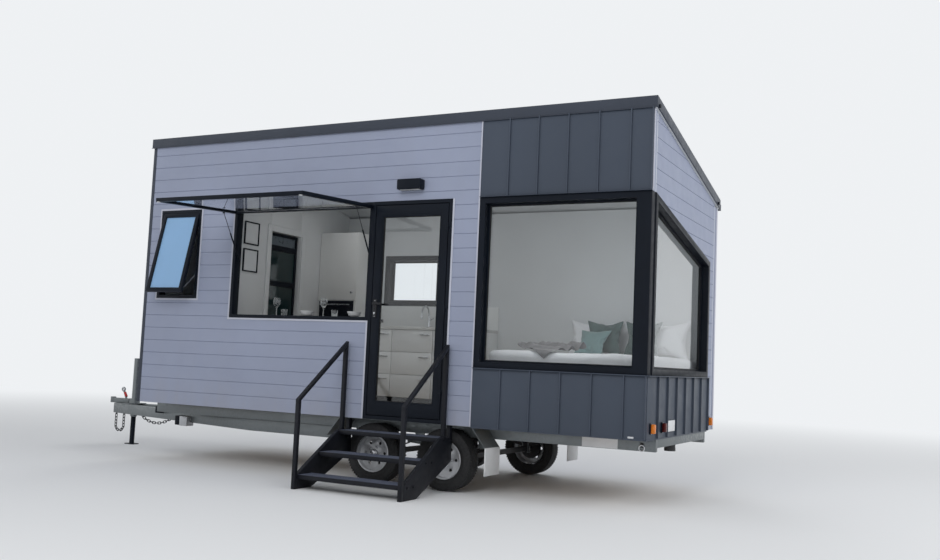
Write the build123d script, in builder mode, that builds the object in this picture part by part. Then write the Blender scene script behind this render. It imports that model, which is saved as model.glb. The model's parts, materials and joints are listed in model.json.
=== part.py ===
"""A small house on a tandem trailer, with a lifted servery window and a glazed corner.

Sizes are in millimetres. The origin lies on the ground under the middle of the outline,
+X runs along the house towards the glazed corner, +Y from the door side to the rear, +Z up.
"Near" is the side with the door, "far" the rear side. Places along the house are measured
from its left end wall, heights from the foot of its walls, depths from the near wall's face.
"""
import os
from math import cos, radians, sin, sqrt, tan

from build123d import *

os.makedirs("parts", exist_ok=True)

# House body
house_length = 6000
house_width = 2420
ground_clearance = 645
wall_t = 110
wall_height = 2943
roof_pitch = 12.2
deck_t = 62
sheet_t = 3
rib_height = 24
rib_pitch = 200
rib_width = 34
barge_depth = 100
barge_t = 12
roof_over_end = 18
roof_over_rear = 32
gutter_width = 75
gutter_height = 70
gutter_t = 3
floor_t = 60
trim_width = 42
trim_t = 3

# Openings in the walls
head_height = 2190
bath_start = 195
bath_width = 600
bath_height = 1005
servery_start = 1280
servery_width = 1805
servery_height = 1210
door_width = 920
corner_pier = 295
corner_sill = 553
raked_width = 2140
raked_rise = 22
raked_drop = 424
kitchen_start = 1800
kitchen_width = 820
kitchen_sill = 1280
kitchen_height = 640

# Window and door joinery
frame_bar = 36
frame_proud = 8
frame_depth = 100
sash_bar = 46
sash_t = 38
glass_t = 10
bath_tilt = 13
servery_lift = 87
bar_top_depth = 260
bar_top_t = 32
corner_bar = 62
corner_post = 150
corner_recess = 80
door_gap = 8
door_stile = 78
door_top_rail = 104
door_bottom_rail = 126
door_t = 45
stop_lip = 14
stop_gap = 6
hinge_out = 8
hinge_r = 7
hinge_height = 96
hinge_plate = 32
hinge_plate_t = 3
hinge_inset = 240
pin_r = 4
knuckle_sides = 8
handle_height = 1150
lock_height = 1058
handle_plate = 44
handle_plate_over = 45
handle_plate_t = 9
handle_corner = 6
neck_r = 11
neck_length = 52
lever_length = 110
lever_height = 20
lever_t = 14
lever_tail = 10
sash_hang = 30
strut_r = 8
strut_sides = 12
strut_drop = 590
strut_out = 235
strut_in = 60

# Corner cladding
pan_t = 6
seam_height = 26
seam_width = 12
pan_width = 300
end_pan_width = 306

# Inside
partition_start = 1120
partition_t = 80
inner_door_start = 730
inner_door_width = 570
inner_door_head = 2040
inner_leaf_t = 36
cupboard_width = 560
unit_depth = 600
cupboard_height = 2150
bench_height = 940
bench_top_t = 38
bench_lip = 15
bench_width = 1680
bed_width = 1610
bed_length = 2020
bed_base_height = 380
mattress_t = 300
mattress_corner = 60
pillow_width = 640
pillow_height = 430
pillow_t = 160
pillow_corner = 50
cushion_size = 420
cushion_t = 130
cushion_in = 380
cushion_apart = 10
front_cushion_in = 300

# Trailer
rail_height = 125
rail_width = 50
rail_spread = 865
cross_count = 9
cross_width = 40
cross_height = 90
coupling_reach = 1700
drawbar_start = 2560
drawbar_bend = 1400
nose_gap = 55
nose_length = 140
nose_box = 215
ball_r = 25.4
ball_wall = 9
head_height_over = 75
coupling_half = 42
coupling_neck = 30
coupling_rise = 12
lever_back = 285
lever_lean = 75
lever_rise = 118
lever_width = 26
lever_plate = 12
ring_r = 30
ring_hole_r = 17
ring_sides = 10
jack_back = 420
jack_r = 38
jack_low = 40
jack_top = 1115
jack_plate = 110
jack_plate_t = 10
clamp_width = 96
clamp_height = 60
leg_r = 31
leg_top = 945
jack_foot_length = 170
jack_foot_width = 120
jack_foot_t = 10
jack_foot_corner = 20

# Safety chains under the drawbar
chain_wire = 10
chain_link = 60
chain_width = 42
chain_corner = 10
chain_side = 42
lug_t = 8
lug_length = 44
lug_over = 10
lug_under = 8
loop_start = 155
loop_straight_count = 4
loop_turn = 30
trail_start = 420
trail_slope = 42
trail_turn = 7
axle_lead = 65
axle_spacing = 815
tyre_r = 300
tyre_width = 185
rim_r = 178
wheel_track = 1020
axle_beam = 50
spindle_r = 19
spindle_end = 30
fit_gap = 0.3
wheel_sides = 24
rim_t = 7
bead_in = 14
bead_rise = 40
shoulder = 26
flange_t = 5
flange_rise = 10
disc_out = 24
disc_t = 8
hub_r = 36
hub_length = 58
hand_hole_r = 17
hand_hole_ring = 112
hand_holes = 6
hub_sides = 10

# Leaf springs, two a side, with a rocker between them
spring_half = 300
spring_rise = 68
leaf_t = 9
leaf_width = 38
leaf_count = 3
leaf_step = 85
eye_r = 14
eye_sides = 8
seat_length = 90
hanger_t = 6
hanger_top = 96
hanger_foot = 44
rocker_t = 6
rocker_deep = 46
rocker_nose = 20
guard_width = 320
guard_t = 3
guard_slope = 150
guard_drop = 190
guard_rise = 40
guard_lip = 40
flap_height = 260
flap_t = 8

# Steps
step_lead = 225
step_width = 1200
step_count = 3
step_rise = 195
first_drop = 121
step_depth = 225
step_going = 320
step_front = 135
tread_t = 40
tread_skin = 5
groove_count = 3
groove_width = 7
groove_depth = 2.5
groove_pitch = 26
groove_in = 30
rail_post = 40
rail_high = 765
rail_low = 190
wall_gap = 40
stringer_t = 40
hook_width = 50

# Lamps at the glazed end
lamp_in = 80
lamp_width = 50
lamp_height = 95
lamp_low = 45
lamp_t = 50
stop_lamp_in = 430
far_lamp_in = 180

# Wall light
light_in = 317
light_width = 270
light_height = 104
light_depth = 90
light_rise = 100
light_corner = 8

# Datum lines worked out from the sizes above
sash_reach = servery_height - sash_hang
lift = radians(servery_lift)
sash_out = frame_proud + fit_gap + sash_t * cos(lift)
front_reach = sash_out + sash_reach * sin(lift)
rear_reach = roof_over_rear + gutter_width
end_reach = max(roof_over_end + barge_t, pan_t + lamp_t)
left_x = (coupling_reach - house_length - end_reach) / 2
right_x = left_x + house_length
front_y = (front_reach - house_width - rear_reach) / 2
rear_y = front_y + house_width
mid_y = front_y + house_width / 2
foot_z = ground_clearance
floor_z = foot_z + floor_t
head_z = foot_z + head_height
in_left, in_right = left_x + wall_t, right_x - wall_t
in_front, in_rear = front_y + wall_t, rear_y - wall_t
door_start = servery_start + servery_width
corner_start = door_start + door_width + corner_pier
axle_z = tyre_r
slope = tan(radians(roof_pitch))


def roof_under(y):
    """Height of the roof deck's underside over the line y."""
    return foot_z + wall_height - (y - front_y) * slope


def block(x0, x1, y0, y1, z0, z1, mode=Mode.ADD):
    """A straight block between two corners, added to the piece being made."""
    with Locations(((x0 + x1) / 2, (y0 + y1) / 2, (z0 + z1) / 2)):
        Box(x1 - x0, y1 - y0, z1 - z0, mode=mode)


def front_run(start, end, low):
    """A stretch of near wall between two places, from a height up to the sloping deck."""
    with BuildSketch(Plane.YZ.offset(left_x + start)) as section:
        Polygon(
            (front_y, foot_z + low),
            (in_front, foot_z + low),
            (in_front, roof_under(in_front)),
            (front_y, roof_under(front_y)),
            align=None,
        )
    extrude(section.sketch, amount=end - start)


def front_low(start, end, top):
    """A stretch of near wall between two places, from the foot up to a sill."""
    block(left_x + start, left_x + end, front_y, in_front, foot_z, foot_z + top)


def cross_section(x):
    """A slice across the house at x, as high as the sloping deck, between the long walls."""
    with BuildSketch(Plane.YZ.offset(x)) as section:
        Polygon(
            (in_front, foot_z),
            (in_rear, foot_z),
            (in_rear, roof_under(in_rear)),
            (in_front, roof_under(in_front)),
            align=None,
        )
    return section.sketch


def ring(plane, x0, x1, z0, z1, bar, depth):
    """A rectangular frame of even bars, drawn on a plane and given a depth behind it."""
    with BuildSketch(plane) as face:
        with Locations(((x0 + x1) / 2, (z0 + z1) / 2)):
            Rectangle(x1 - x0, z1 - z0)
            Rectangle(x1 - x0 - 2 * bar, z1 - z0 - 2 * bar, mode=Mode.SUBTRACT)
    extrude(face.sketch, amount=-depth)


def pane(plane, x0, x1, z0, z1, depth):
    """A rectangular pane drawn on a plane and given a depth behind it."""
    with BuildSketch(plane) as face:
        with Locations(((x0 + x1) / 2, (z0 + z1) / 2)):
            Rectangle(x1 - x0, z1 - z0)
    extrude(face.sketch, amount=-depth)


def near_face(out):
    """An upright plane that stands a distance out from the near wall's face."""
    return Plane.XZ.offset(out - front_y)


def hinge_half(line, side):
    """Half of a butt hinge: side 1 is the frame's half with the pin, side -1 the leaf's.

    The line is a plane at the hinge's middle, its x towards the frame and its y into the wall.
    """
    third = hinge_height / 3
    for step in (-1, 1) if side > 0 else (0,):
        with BuildSketch(line.offset(step * third)) as knuckle:
            RegularPolygon(hinge_r, knuckle_sides, major_radius=False)
            with Locations((side * hinge_plate / 2, hinge_out - hinge_plate_t / 2)):
                Rectangle(hinge_plate, hinge_plate_t)
            if side < 0:
                Circle(pin_r + fit_gap, mode=Mode.SUBTRACT)
        extrude(knuckle.sketch, amount=(third - fit_gap) / 2, both=True)
    if side > 0:
        with BuildSketch(line) as pin_round:
            Circle(pin_r)
        extrude(pin_round.sketch, amount=(third + fit_gap) / 2, both=True)


# Near wall, beside, under and over its openings
with BuildPart() as front_wall_piers:
    front_run(0, bath_start, 0)
    front_run(bath_start + bath_width, servery_start, 0)
    front_run(door_start + door_width, corner_start, 0)
front_wall_piers.part.label = "front_wall_piers"
export_step(front_wall_piers.part, "parts/front_wall_piers.step")

with BuildPart() as front_wall_lower:
    front_low(bath_start, bath_start + bath_width, head_height - bath_height)
    front_low(servery_start, door_start, head_height - servery_height)
    front_low(corner_start, house_length, corner_sill)
front_wall_lower.part.label = "front_wall_lower"
export_step(front_wall_lower.part, "parts/front_wall_lower.step")

with BuildPart() as front_wall_upper:
    front_run(bath_start, bath_start + bath_width, head_height)
    front_run(servery_start, door_start + door_width, head_height)
    front_run(corner_start, house_length, head_height)
front_wall_upper.part.label = "front_wall_upper"
export_step(front_wall_upper.part, "parts/front_wall_upper.step")

# Glazed end wall, round the raked window
raked_end = front_y + raked_width
raked_fall = raked_drop / raked_width


def raked_head(y):
    """Height of the raked window's head over the line y."""
    return head_z + raked_rise - (y - front_y) * raked_fall


with BuildPart() as end_wall:
    extrude(cross_section(in_right), amount=wall_t)
    with BuildSketch(Plane.YZ.offset(in_right)) as raked_hole:
        Polygon(
            (in_front - fit_gap, foot_z + corner_sill),
            (raked_end, foot_z + corner_sill),
            (raked_end, raked_head(raked_end)),
            (in_front - fit_gap, raked_head(in_front - fit_gap)),
            align=None,
        )
    extrude(raked_hole.sketch, amount=wall_t, mode=Mode.SUBTRACT)
end_wall.part.label = "end_wall"
export_step(end_wall.part, "parts/end_wall.step")

with BuildPart() as left_end_wall:
    extrude(cross_section(left_x), amount=wall_t)
left_end_wall.part.label = "left_end_wall"
export_step(left_end_wall.part, "parts/left_end_wall.step")

# Rear wall with its kitchen window
with BuildPart() as rear_wall:
    with BuildSketch(Plane.YZ.offset(left_x)) as rear_section:
        Polygon(
            (in_rear, foot_z),
            (rear_y, foot_z),
            (rear_y, roof_under(rear_y)),
            (in_rear, roof_under(in_rear)),
            align=None,
        )
    extrude(rear_section.sketch, amount=house_length)
    block(
        left_x + kitchen_start,
        left_x + kitchen_start + kitchen_width,
        in_rear,
        rear_y,
        foot_z + kitchen_sill,
        foot_z + kitchen_sill + kitchen_height,
        mode=Mode.SUBTRACT,
    )
rear_wall.part.label = "rear_wall"
export_step(rear_wall.part, "parts/rear_wall.step")

with BuildPart() as floor:
    block(in_left, in_right, in_front, in_rear, foot_z, floor_z)
floor.part.label = "floor"
export_step(floor.part, "parts/floor.step")

# Roof deck, its ribbed sheet, the barges round three edges and the low gutter
deck_x0, deck_x1 = left_x - roof_over_end, right_x + roof_over_end
deck_y1 = rear_y + roof_over_rear
with BuildPart() as roof_deck:
    with BuildSketch(Plane.YZ.offset(deck_x0)) as deck_section:
        Polygon(
            (front_y, roof_under(front_y)),
            (deck_y1, roof_under(deck_y1)),
            (deck_y1, roof_under(deck_y1) + deck_t),
            (front_y, roof_under(front_y) + deck_t),
            align=None,
        )
    extrude(deck_section.sketch, amount=deck_x1 - deck_x0)
roof_deck.part.label = "roof_deck"
export_step(roof_deck.part, "parts/roof_deck.step")

deck_top = Plane(
    origin=(0, front_y, roof_under(front_y) + deck_t),
    x_dir=(1, 0, 0),
    z_dir=(0, sin(radians(roof_pitch)), cos(radians(roof_pitch))),
)
slope_length = (deck_y1 - front_y) / cos(radians(roof_pitch))
rib_count = int((deck_x1 - deck_x0 - 2 * rib_width) // rib_pitch)
with BuildPart() as roof_sheet:
    with BuildSketch(deck_top) as sheet_face:
        with Locations(((deck_x0 + deck_x1) / 2, slope_length / 2)):
            Rectangle(deck_x1 - deck_x0, slope_length)
    extrude(sheet_face.sketch, amount=sheet_t)
    with BuildSketch(deck_top.offset(sheet_t)) as rib_feet:
        with Locations(((deck_x0 + deck_x1) / 2, slope_length / 2)):
            with GridLocations(rib_pitch, 0, rib_count, 1):
                Rectangle(rib_width, slope_length)
    extrude(rib_feet.sketch, amount=rib_height - sheet_t, taper=14)
roof_sheet.part.label = "roof_sheet"
export_step(roof_sheet.part, "parts/roof_sheet.step")


def barge_section(x):
    """The sloping barge board's outline on the upright plane at x."""
    with BuildSketch(Plane.YZ.offset(x)) as section:
        Polygon(
            (front_y, roof_under(front_y)),
            (deck_y1, roof_under(deck_y1)),
            (deck_y1, roof_under(deck_y1) + barge_depth),
            (front_y, roof_under(front_y) + barge_depth),
            align=None,
        )
    return section.sketch


fascia_z = roof_under(front_y)
with BuildPart() as roof_fascia:
    extrude(barge_section(deck_x1), amount=barge_t)
    extrude(barge_section(deck_x0 - barge_t), amount=barge_t)
    block(
        deck_x0 - barge_t,
        deck_x1 + barge_t,
        front_y - barge_t,
        front_y,
        fascia_z,
        fascia_z + barge_depth,
    )
roof_fascia.part.label = "roof_fascia"
export_step(roof_fascia.part, "parts/roof_fascia.step")

gutter_top = roof_under(deck_y1) + deck_t
with BuildPart() as rear_gutter:
    with BuildSketch(Plane.YZ.offset(deck_x0)) as gutter_section:
        with BuildLine():
            Polyline(
                (deck_y1, gutter_top),
                (deck_y1, gutter_top - gutter_height),
                (deck_y1 + gutter_width, gutter_top - gutter_height),
                (deck_y1 + gutter_width, gutter_top),
                (deck_y1 + gutter_width - gutter_t, gutter_top),
                (deck_y1 + gutter_width - gutter_t, gutter_top - gutter_height + gutter_t),
                (deck_y1 + gutter_t, gutter_top - gutter_height + gutter_t),
                (deck_y1 + gutter_t, gutter_top),
                close=True,
            )
        make_face()
    extrude(gutter_section.sketch, amount=deck_x1 - deck_x0)
rear_gutter.part.label = "rear_gutter"
export_step(rear_gutter.part, "parts/rear_gutter.step")

# Folded trims on the two upright corners of the boarded walls
with BuildPart() as corner_trims:
    for y, y_in, over in ((front_y, 1, roof_under(front_y)), (rear_y, -1, roof_under(rear_y))):
        with BuildSketch(Plane.XY.offset(foot_z)) as fold:
            with BuildLine():
                Polyline(
                    (left_x, y),
                    (left_x + trim_width, y),
                    (left_x + trim_width, y - y_in * trim_t),
                    (left_x - trim_t, y - y_in * trim_t),
                    (left_x - trim_t, y + y_in * trim_width),
                    (left_x, y + y_in * trim_width),
                    close=True,
                )
            make_face()
        extrude(fold.sketch, amount=over - foot_z - trim_width * slope)
corner_trims.part.label = "corner_trims"
export_step(corner_trims.part, "parts/corner_trims.step")

# Standing-seam cladding over and under the corner window
seam_count = int((house_length - corner_start - seam_width) // pan_width)
seam_first = house_length - corner_start - seam_count * pan_width


def near_cladding(low, high):
    """Cladding on the near wall beside the corner, with a raised seam at each pan's edge."""
    x0, x1 = left_x + corner_start, right_x
    block(x0, x1, front_y - pan_t, front_y, foot_z + low, foot_z + high)
    for seam in range(seam_count + 1):
        x = x0 + seam_first + seam * pan_width - seam_width
        block(x, x + seam_width, front_y - seam_height, front_y - pan_t, foot_z + low, foot_z + high)


with BuildPart() as corner_cladding:
    near_cladding(head_height, wall_height)
    near_cladding(0, corner_sill)
corner_cladding.part.label = "corner_cladding"
export_step(corner_cladding.part, "parts/corner_cladding.step")

end_seams = int(raked_width // end_pan_width) + 1
with BuildPart() as end_cladding:
    block(right_x, right_x + pan_t, front_y, raked_end, foot_z, foot_z + corner_sill)
    for seam in range(end_seams):
        y = raked_end - seam * end_pan_width - seam_width
        block(right_x + pan_t, right_x + seam_height, y, y + seam_width, foot_z, foot_z + corner_sill)
end_cladding.part.label = "end_cladding"
export_step(end_cladding.part, "parts/end_cladding.step")

# Bathroom window, its top-hung sash tilted out
bath_x0 = left_x + bath_start
bath_x1 = bath_x0 + bath_width
bath_z0 = head_z - bath_height
with BuildPart() as bathroom_frame:
    ring(near_face(frame_proud), bath_x0, bath_x1, bath_z0, head_z, frame_bar, frame_depth)
bathroom_frame.part.label = "bathroom_frame"
export_step(bathroom_frame.part, "parts/bathroom_frame.step")


def hung_plane(x0, x1, out, hinge_z, tilt):
    """A plane on a sash's outer face, its origin at the middle of the hinge line."""
    angle = radians(tilt)
    return Plane(
        origin=((x0 + x1) / 2, front_y - out, hinge_z),
        x_dir=(1, 0, 0),
        z_dir=(0, -cos(angle), sin(angle)),
    )


bath_hung = hung_plane(bath_x0, bath_x1, frame_proud, head_z - frame_bar - fit_gap, bath_tilt)
bath_half = bath_width / 2 - frame_bar - fit_gap
bath_drop = bath_height - 2 * frame_bar - 2 * fit_gap
with BuildPart() as bathroom_sash:
    ring(bath_hung, -bath_half, bath_half, -bath_drop, 0, sash_bar, sash_t)
bathroom_sash.part.label = "bathroom_sash"
export_step(bathroom_sash.part, "parts/bathroom_sash.step")

with BuildPart() as bathroom_glass:
    pane(
        bath_hung.offset(-(sash_t - glass_t) / 2),
        sash_bar - bath_half,
        bath_half - sash_bar,
        sash_bar - bath_drop,
        -sash_bar,
        glass_t,
    )
bathroom_glass.part.label = "bathroom_glass"
export_step(bathroom_glass.part, "parts/bathroom_glass.step")

# Servery window, its glazed sash lifted on two gas struts, with a bar top inside on the sill
serve_x0 = left_x + servery_start
serve_x1 = serve_x0 + servery_width
serve_z0 = head_z - servery_height
bar_top_y0 = front_y + frame_depth - frame_proud + fit_gap
bar_top_y1 = bar_top_y0 + bar_top_depth
with BuildPart() as servery_frame:
    ring(near_face(frame_proud), serve_x0, serve_x1, serve_z0, head_z, frame_bar, frame_depth)
    block(serve_x0, serve_x1 - frame_bar, bar_top_y0, bar_top_y1, serve_z0, serve_z0 + bar_top_t)
servery_frame.part.label = "servery_frame"
export_step(servery_frame.part, "parts/servery_frame.step")

serve_hung = hung_plane(serve_x0, serve_x1, sash_out, head_z - sash_hang, servery_lift)
serve_half = servery_width / 2
with BuildPart() as servery_sash:
    ring(serve_hung, -serve_half, serve_half, -sash_reach, 0, sash_bar, sash_t)
servery_sash.part.label = "servery_sash"
export_step(servery_sash.part, "parts/servery_sash.step")

with BuildPart() as servery_glass:
    pane(
        serve_hung.offset(-(sash_t - glass_t) / 2),
        sash_bar - serve_half,
        serve_half - sash_bar,
        sash_bar - sash_reach,
        -sash_bar,
        glass_t,
    )
servery_glass.part.label = "servery_glass"
export_step(servery_glass.part, "parts/servery_glass.step")

strut_foot_z = head_z - strut_drop
strut_top_z = head_z - sash_hang - strut_out * cos(lift) - sash_t - strut_r - fit_gap
with BuildPart() as servery_struts:
    for x in (serve_x0 + frame_bar + strut_r, serve_x1 - frame_bar - strut_r):
        foot = Vector(x, front_y + strut_in, strut_foot_z)
        top = Vector(x, front_y - frame_proud - strut_out, strut_top_z)
        with BuildSketch(Plane(origin=foot, z_dir=top - foot)) as strut_round:
            RegularPolygon(strut_r, strut_sides)
        extrude(strut_round.sketch, amount=(top - foot).length)
servery_struts.part.label = "servery_struts"
export_step(servery_struts.part, "parts/servery_struts.step")

# Entry door, glazed, hinged at its right edge and opening out
door_x0 = left_x + door_start
door_x1 = door_x0 + door_width
leaf_x0, leaf_x1 = door_x0 + frame_bar + door_gap, door_x1 - frame_bar - door_gap
leaf_z0, leaf_z1 = foot_z + frame_bar + door_gap, head_z - frame_bar - door_gap
stop_out = frame_proud - door_t - stop_gap
door_hinges = [
    Plane(
        origin=(leaf_x1 + door_gap / 2, front_y - frame_proud - hinge_out, z),
        x_dir=(1, 0, 0),
        z_dir=(0, 0, 1),
    )
    for z in (leaf_z0 + hinge_inset, (leaf_z0 + leaf_z1) / 2, leaf_z1 - hinge_inset)
]
with BuildPart() as door_frame:
    ring(near_face(frame_proud), door_x0, door_x1, foot_z, head_z, frame_bar, frame_depth)
    ring(
        near_face(stop_out),
        door_x0 + frame_bar,
        door_x1 - frame_bar,
        foot_z + frame_bar,
        head_z - frame_bar,
        stop_lip,
        frame_depth - door_t - stop_gap,
    )
    for line in door_hinges:
        hinge_half(line, 1)
door_frame.part.label = "door_frame"
export_step(door_frame.part, "parts/door_frame.step")

glass_x0, glass_x1 = leaf_x0 + door_stile, leaf_x1 - door_stile
glass_z0, glass_z1 = leaf_z0 + door_bottom_rail, leaf_z1 - door_top_rail
with BuildPart() as door_leaf:
    pane(near_face(frame_proud), leaf_x0, leaf_x1, leaf_z0, leaf_z1, door_t)
    with BuildSketch(near_face(frame_proud)) as light_hole:
        with Locations(((glass_x0 + glass_x1) / 2, (glass_z0 + glass_z1) / 2)):
            Rectangle(glass_x1 - glass_x0, glass_z1 - glass_z0)
    extrude(light_hole.sketch, amount=-door_t, mode=Mode.SUBTRACT)
    for line in door_hinges:
        hinge_half(line, -1)
door_leaf.part.label = "door_leaf"
export_step(door_leaf.part, "parts/door_leaf.step")

with BuildPart() as door_glass:
    pane(
        near_face(frame_proud - (door_t - glass_t) / 2), glass_x0, glass_x1, glass_z0, glass_z1, glass_t
    )
door_glass.part.label = "door_glass"
export_step(door_glass.part, "parts/door_glass.step")

handle_x = leaf_x0 + door_stile / 2
with BuildPart() as door_handles:
    for face_out, side in ((frame_proud, 1), (frame_proud - door_t, -1)):
        plane = near_face(face_out)
        with BuildSketch(plane) as plate:
            with Locations((handle_x, foot_z + (handle_height + lock_height) / 2)):
                Rectangle(handle_plate, handle_height - lock_height + 2 * handle_plate_over)
            chamfer(plate.vertices(), handle_corner)
        extrude(plate.sketch, amount=side * handle_plate_t)
        with BuildSketch(plane) as neck:
            with Locations((handle_x, foot_z + handle_height)):
                RegularPolygon(neck_r, knuckle_sides)
        extrude(neck.sketch, amount=side * neck_length)
        with BuildSketch(plane.offset(side * (neck_length - lever_t))) as lever:
            with Locations((handle_x + lever_length / 2 - lever_tail, foot_z + handle_height)):
                Rectangle(lever_length, lever_height)
            chamfer(lever.vertices(), handle_corner)
        extrude(lever.sketch, amount=side * lever_t)
door_handles.part.label = "door_handles"
export_step(door_handles.part, "parts/door_handles.step")

# Corner window: near frame, raked end frame with the corner post, and the two panes
corner_x0 = left_x + corner_start
corner_z0 = foot_z + corner_sill
pane_y = front_y + corner_recess
pane_x = right_x - corner_recess
with BuildPart() as corner_frame_near:
    with BuildSketch(near_face(frame_proud)) as near_ring:
        with Locations(((corner_x0 + right_x) / 2, (corner_z0 + head_z) / 2)):
            Rectangle(right_x - corner_x0, head_z - corner_z0)
        light_x1 = right_x - corner_post + frame_proud
        with Locations(((corner_x0 + corner_bar + light_x1) / 2, (corner_z0 + head_z) / 2)):
            Rectangle(
                light_x1 - corner_x0 - corner_bar, head_z - corner_z0 - 2 * corner_bar, mode=Mode.SUBTRACT
            )
    extrude(near_ring.sketch, amount=-(wall_t + frame_proud))
corner_frame_near.part.label = "corner_frame_near"
export_step(corner_frame_near.part, "parts/corner_frame_near.step")


def raked_ring(inset):
    """Points of the raked window's outline, moved in by an inset, from the near jamb round."""
    y0, y1 = in_front + inset, raked_end - inset
    z0 = corner_z0 + inset
    fall = inset / cos(radians(roof_pitch))
    return (y0, z0), (y1, z0), (y1, raked_head(y1) - fall), (y0, raked_head(y0) - fall)


with BuildPart() as corner_frame_end:
    with BuildSketch(Plane.YZ.offset(in_right)) as end_ring:
        Polygon(*raked_ring(0), align=None)
        Polygon(*raked_ring(corner_bar), align=None, mode=Mode.SUBTRACT)
    extrude(end_ring.sketch, amount=wall_t + frame_proud)
corner_frame_end.part.label = "corner_frame_end"
export_step(corner_frame_end.part, "parts/corner_frame_end.step")

# Kitchen window in the rear wall
kitchen_x0 = left_x + kitchen_start
kitchen_x1 = kitchen_x0 + kitchen_width
kitchen_z0 = foot_z + kitchen_sill
kitchen_z1 = kitchen_z0 + kitchen_height
kitchen_depth = wall_t + frame_proud
with BuildPart() as kitchen_frame:
    with BuildSketch(Plane.XZ.offset(-in_rear)) as kitchen_ring:
        with Locations(((kitchen_x0 + kitchen_x1) / 2, (kitchen_z0 + kitchen_z1) / 2)):
            Rectangle(kitchen_width, kitchen_height)
            Rectangle(
                kitchen_width - 2 * corner_bar, kitchen_height - 2 * corner_bar, mode=Mode.SUBTRACT
            )
    extrude(kitchen_ring.sketch, amount=-kitchen_depth)
kitchen_frame.part.label = "kitchen_frame"
export_step(kitchen_frame.part, "parts/kitchen_frame.step")

# Fixed panes of the corner window and the kitchen window
with BuildPart() as window_glass:
    pane(
        Plane.XZ.offset(-pane_y),
        corner_x0 + corner_bar,
        light_x1,
        corner_z0 + corner_bar,
        head_z - corner_bar,
        glass_t,
    )
    with BuildSketch(Plane.YZ.offset(pane_x - glass_t)) as end_pane:
        Polygon(*raked_ring(corner_bar), align=None)
    extrude(end_pane.sketch, amount=glass_t)
    pane(
        Plane.XZ.offset(glass_t - rear_y),
        kitchen_x0 + corner_bar,
        kitchen_x1 - corner_bar,
        kitchen_z0 + corner_bar,
        kitchen_z1 - corner_bar,
        glass_t,
    )
window_glass.part.label = "window_glass"
export_step(window_glass.part, "parts/window_glass.step")

# Wall light over the door
light_x0 = left_x + door_start + light_in
light_z0 = head_z + light_rise
with BuildPart() as wall_light:
    block(light_x0, light_x0 + light_width, front_y - light_depth, front_y, light_z0, light_z0 + light_height)
    chamfer(wall_light.edges().filter_by(Axis.Y), light_corner)
wall_light.part.label = "wall_light"
export_step(wall_light.part, "parts/wall_light.step")

# Partition with its inner door, which opens into the bathroom
part_x0 = left_x + partition_start
part_x1 = part_x0 + partition_t
inner_y0 = front_y + inner_door_start
inner_y1 = inner_y0 + inner_door_width
inner_z1 = foot_z + inner_door_head


def partition_run(y0, y1, z0):
    """A stretch of partition between two depths, from a height up to the sloping deck."""
    with BuildSketch(Plane.YZ.offset(part_x0)) as section:
        Polygon((y0, z0), (y1, z0), (y1, roof_under(y1)), (y0, roof_under(y0)), align=None)
    extrude(section.sketch, amount=partition_t)


inner_hinges = [
    Plane(
        origin=(part_x0 - hinge_out, inner_y1 - door_gap / 2, z), x_dir=(0, 1, 0), z_dir=(0, 0, -1)
    )
    for z in (floor_z + hinge_inset, inner_z1 - hinge_inset)
]
with BuildPart() as partition:
    partition_run(in_front, inner_y0, floor_z)
    partition_run(inner_y1, in_rear, floor_z)
    partition_run(inner_y0 + fit_gap, inner_y1 - fit_gap, inner_z1)
    for line in inner_hinges:
        hinge_half(line, 1)
partition.part.label = "partition"
export_step(partition.part, "parts/partition.step")

with BuildPart() as inner_door:
    block(
        part_x0,
        part_x0 + inner_leaf_t,
        inner_y0 + door_gap,
        inner_y1 - door_gap,
        floor_z + door_gap,
        inner_z1 - door_gap,
    )
    for line in inner_hinges:
        hinge_half(line, -1)
inner_door.part.label = "inner_door"
export_step(inner_door.part, "parts/inner_door.step")

# Kitchen units along the rear wall
unit_y0 = in_rear - unit_depth
bench_x0 = part_x1 + cupboard_width
bench_x1 = bench_x0 + bench_width
bench_z1 = floor_z + bench_height
with BuildPart() as kitchen_units:
    block(part_x1, bench_x0, unit_y0, in_rear, floor_z, foot_z + cupboard_height)
    block(bench_x0, bench_x1, unit_y0, in_rear, floor_z, bench_z1 - bench_top_t)
    block(bench_x0, bench_x1, unit_y0 - bench_lip, in_rear, bench_z1 - bench_top_t, bench_z1)
kitchen_units.part.label = "kitchen_units"
export_step(kitchen_units.part, "parts/kitchen_units.step")

# Bed in the glazed corner
bed_x1 = in_right
bed_x0 = bed_x1 - bed_width
bed_y0 = in_rear - bed_length
with BuildPart() as bed_base:
    block(bed_x0, bed_x1, bed_y0, in_rear, floor_z, floor_z + bed_base_height)
bed_base.part.label = "bed_base"
export_step(bed_base.part, "parts/bed_base.step")

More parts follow.
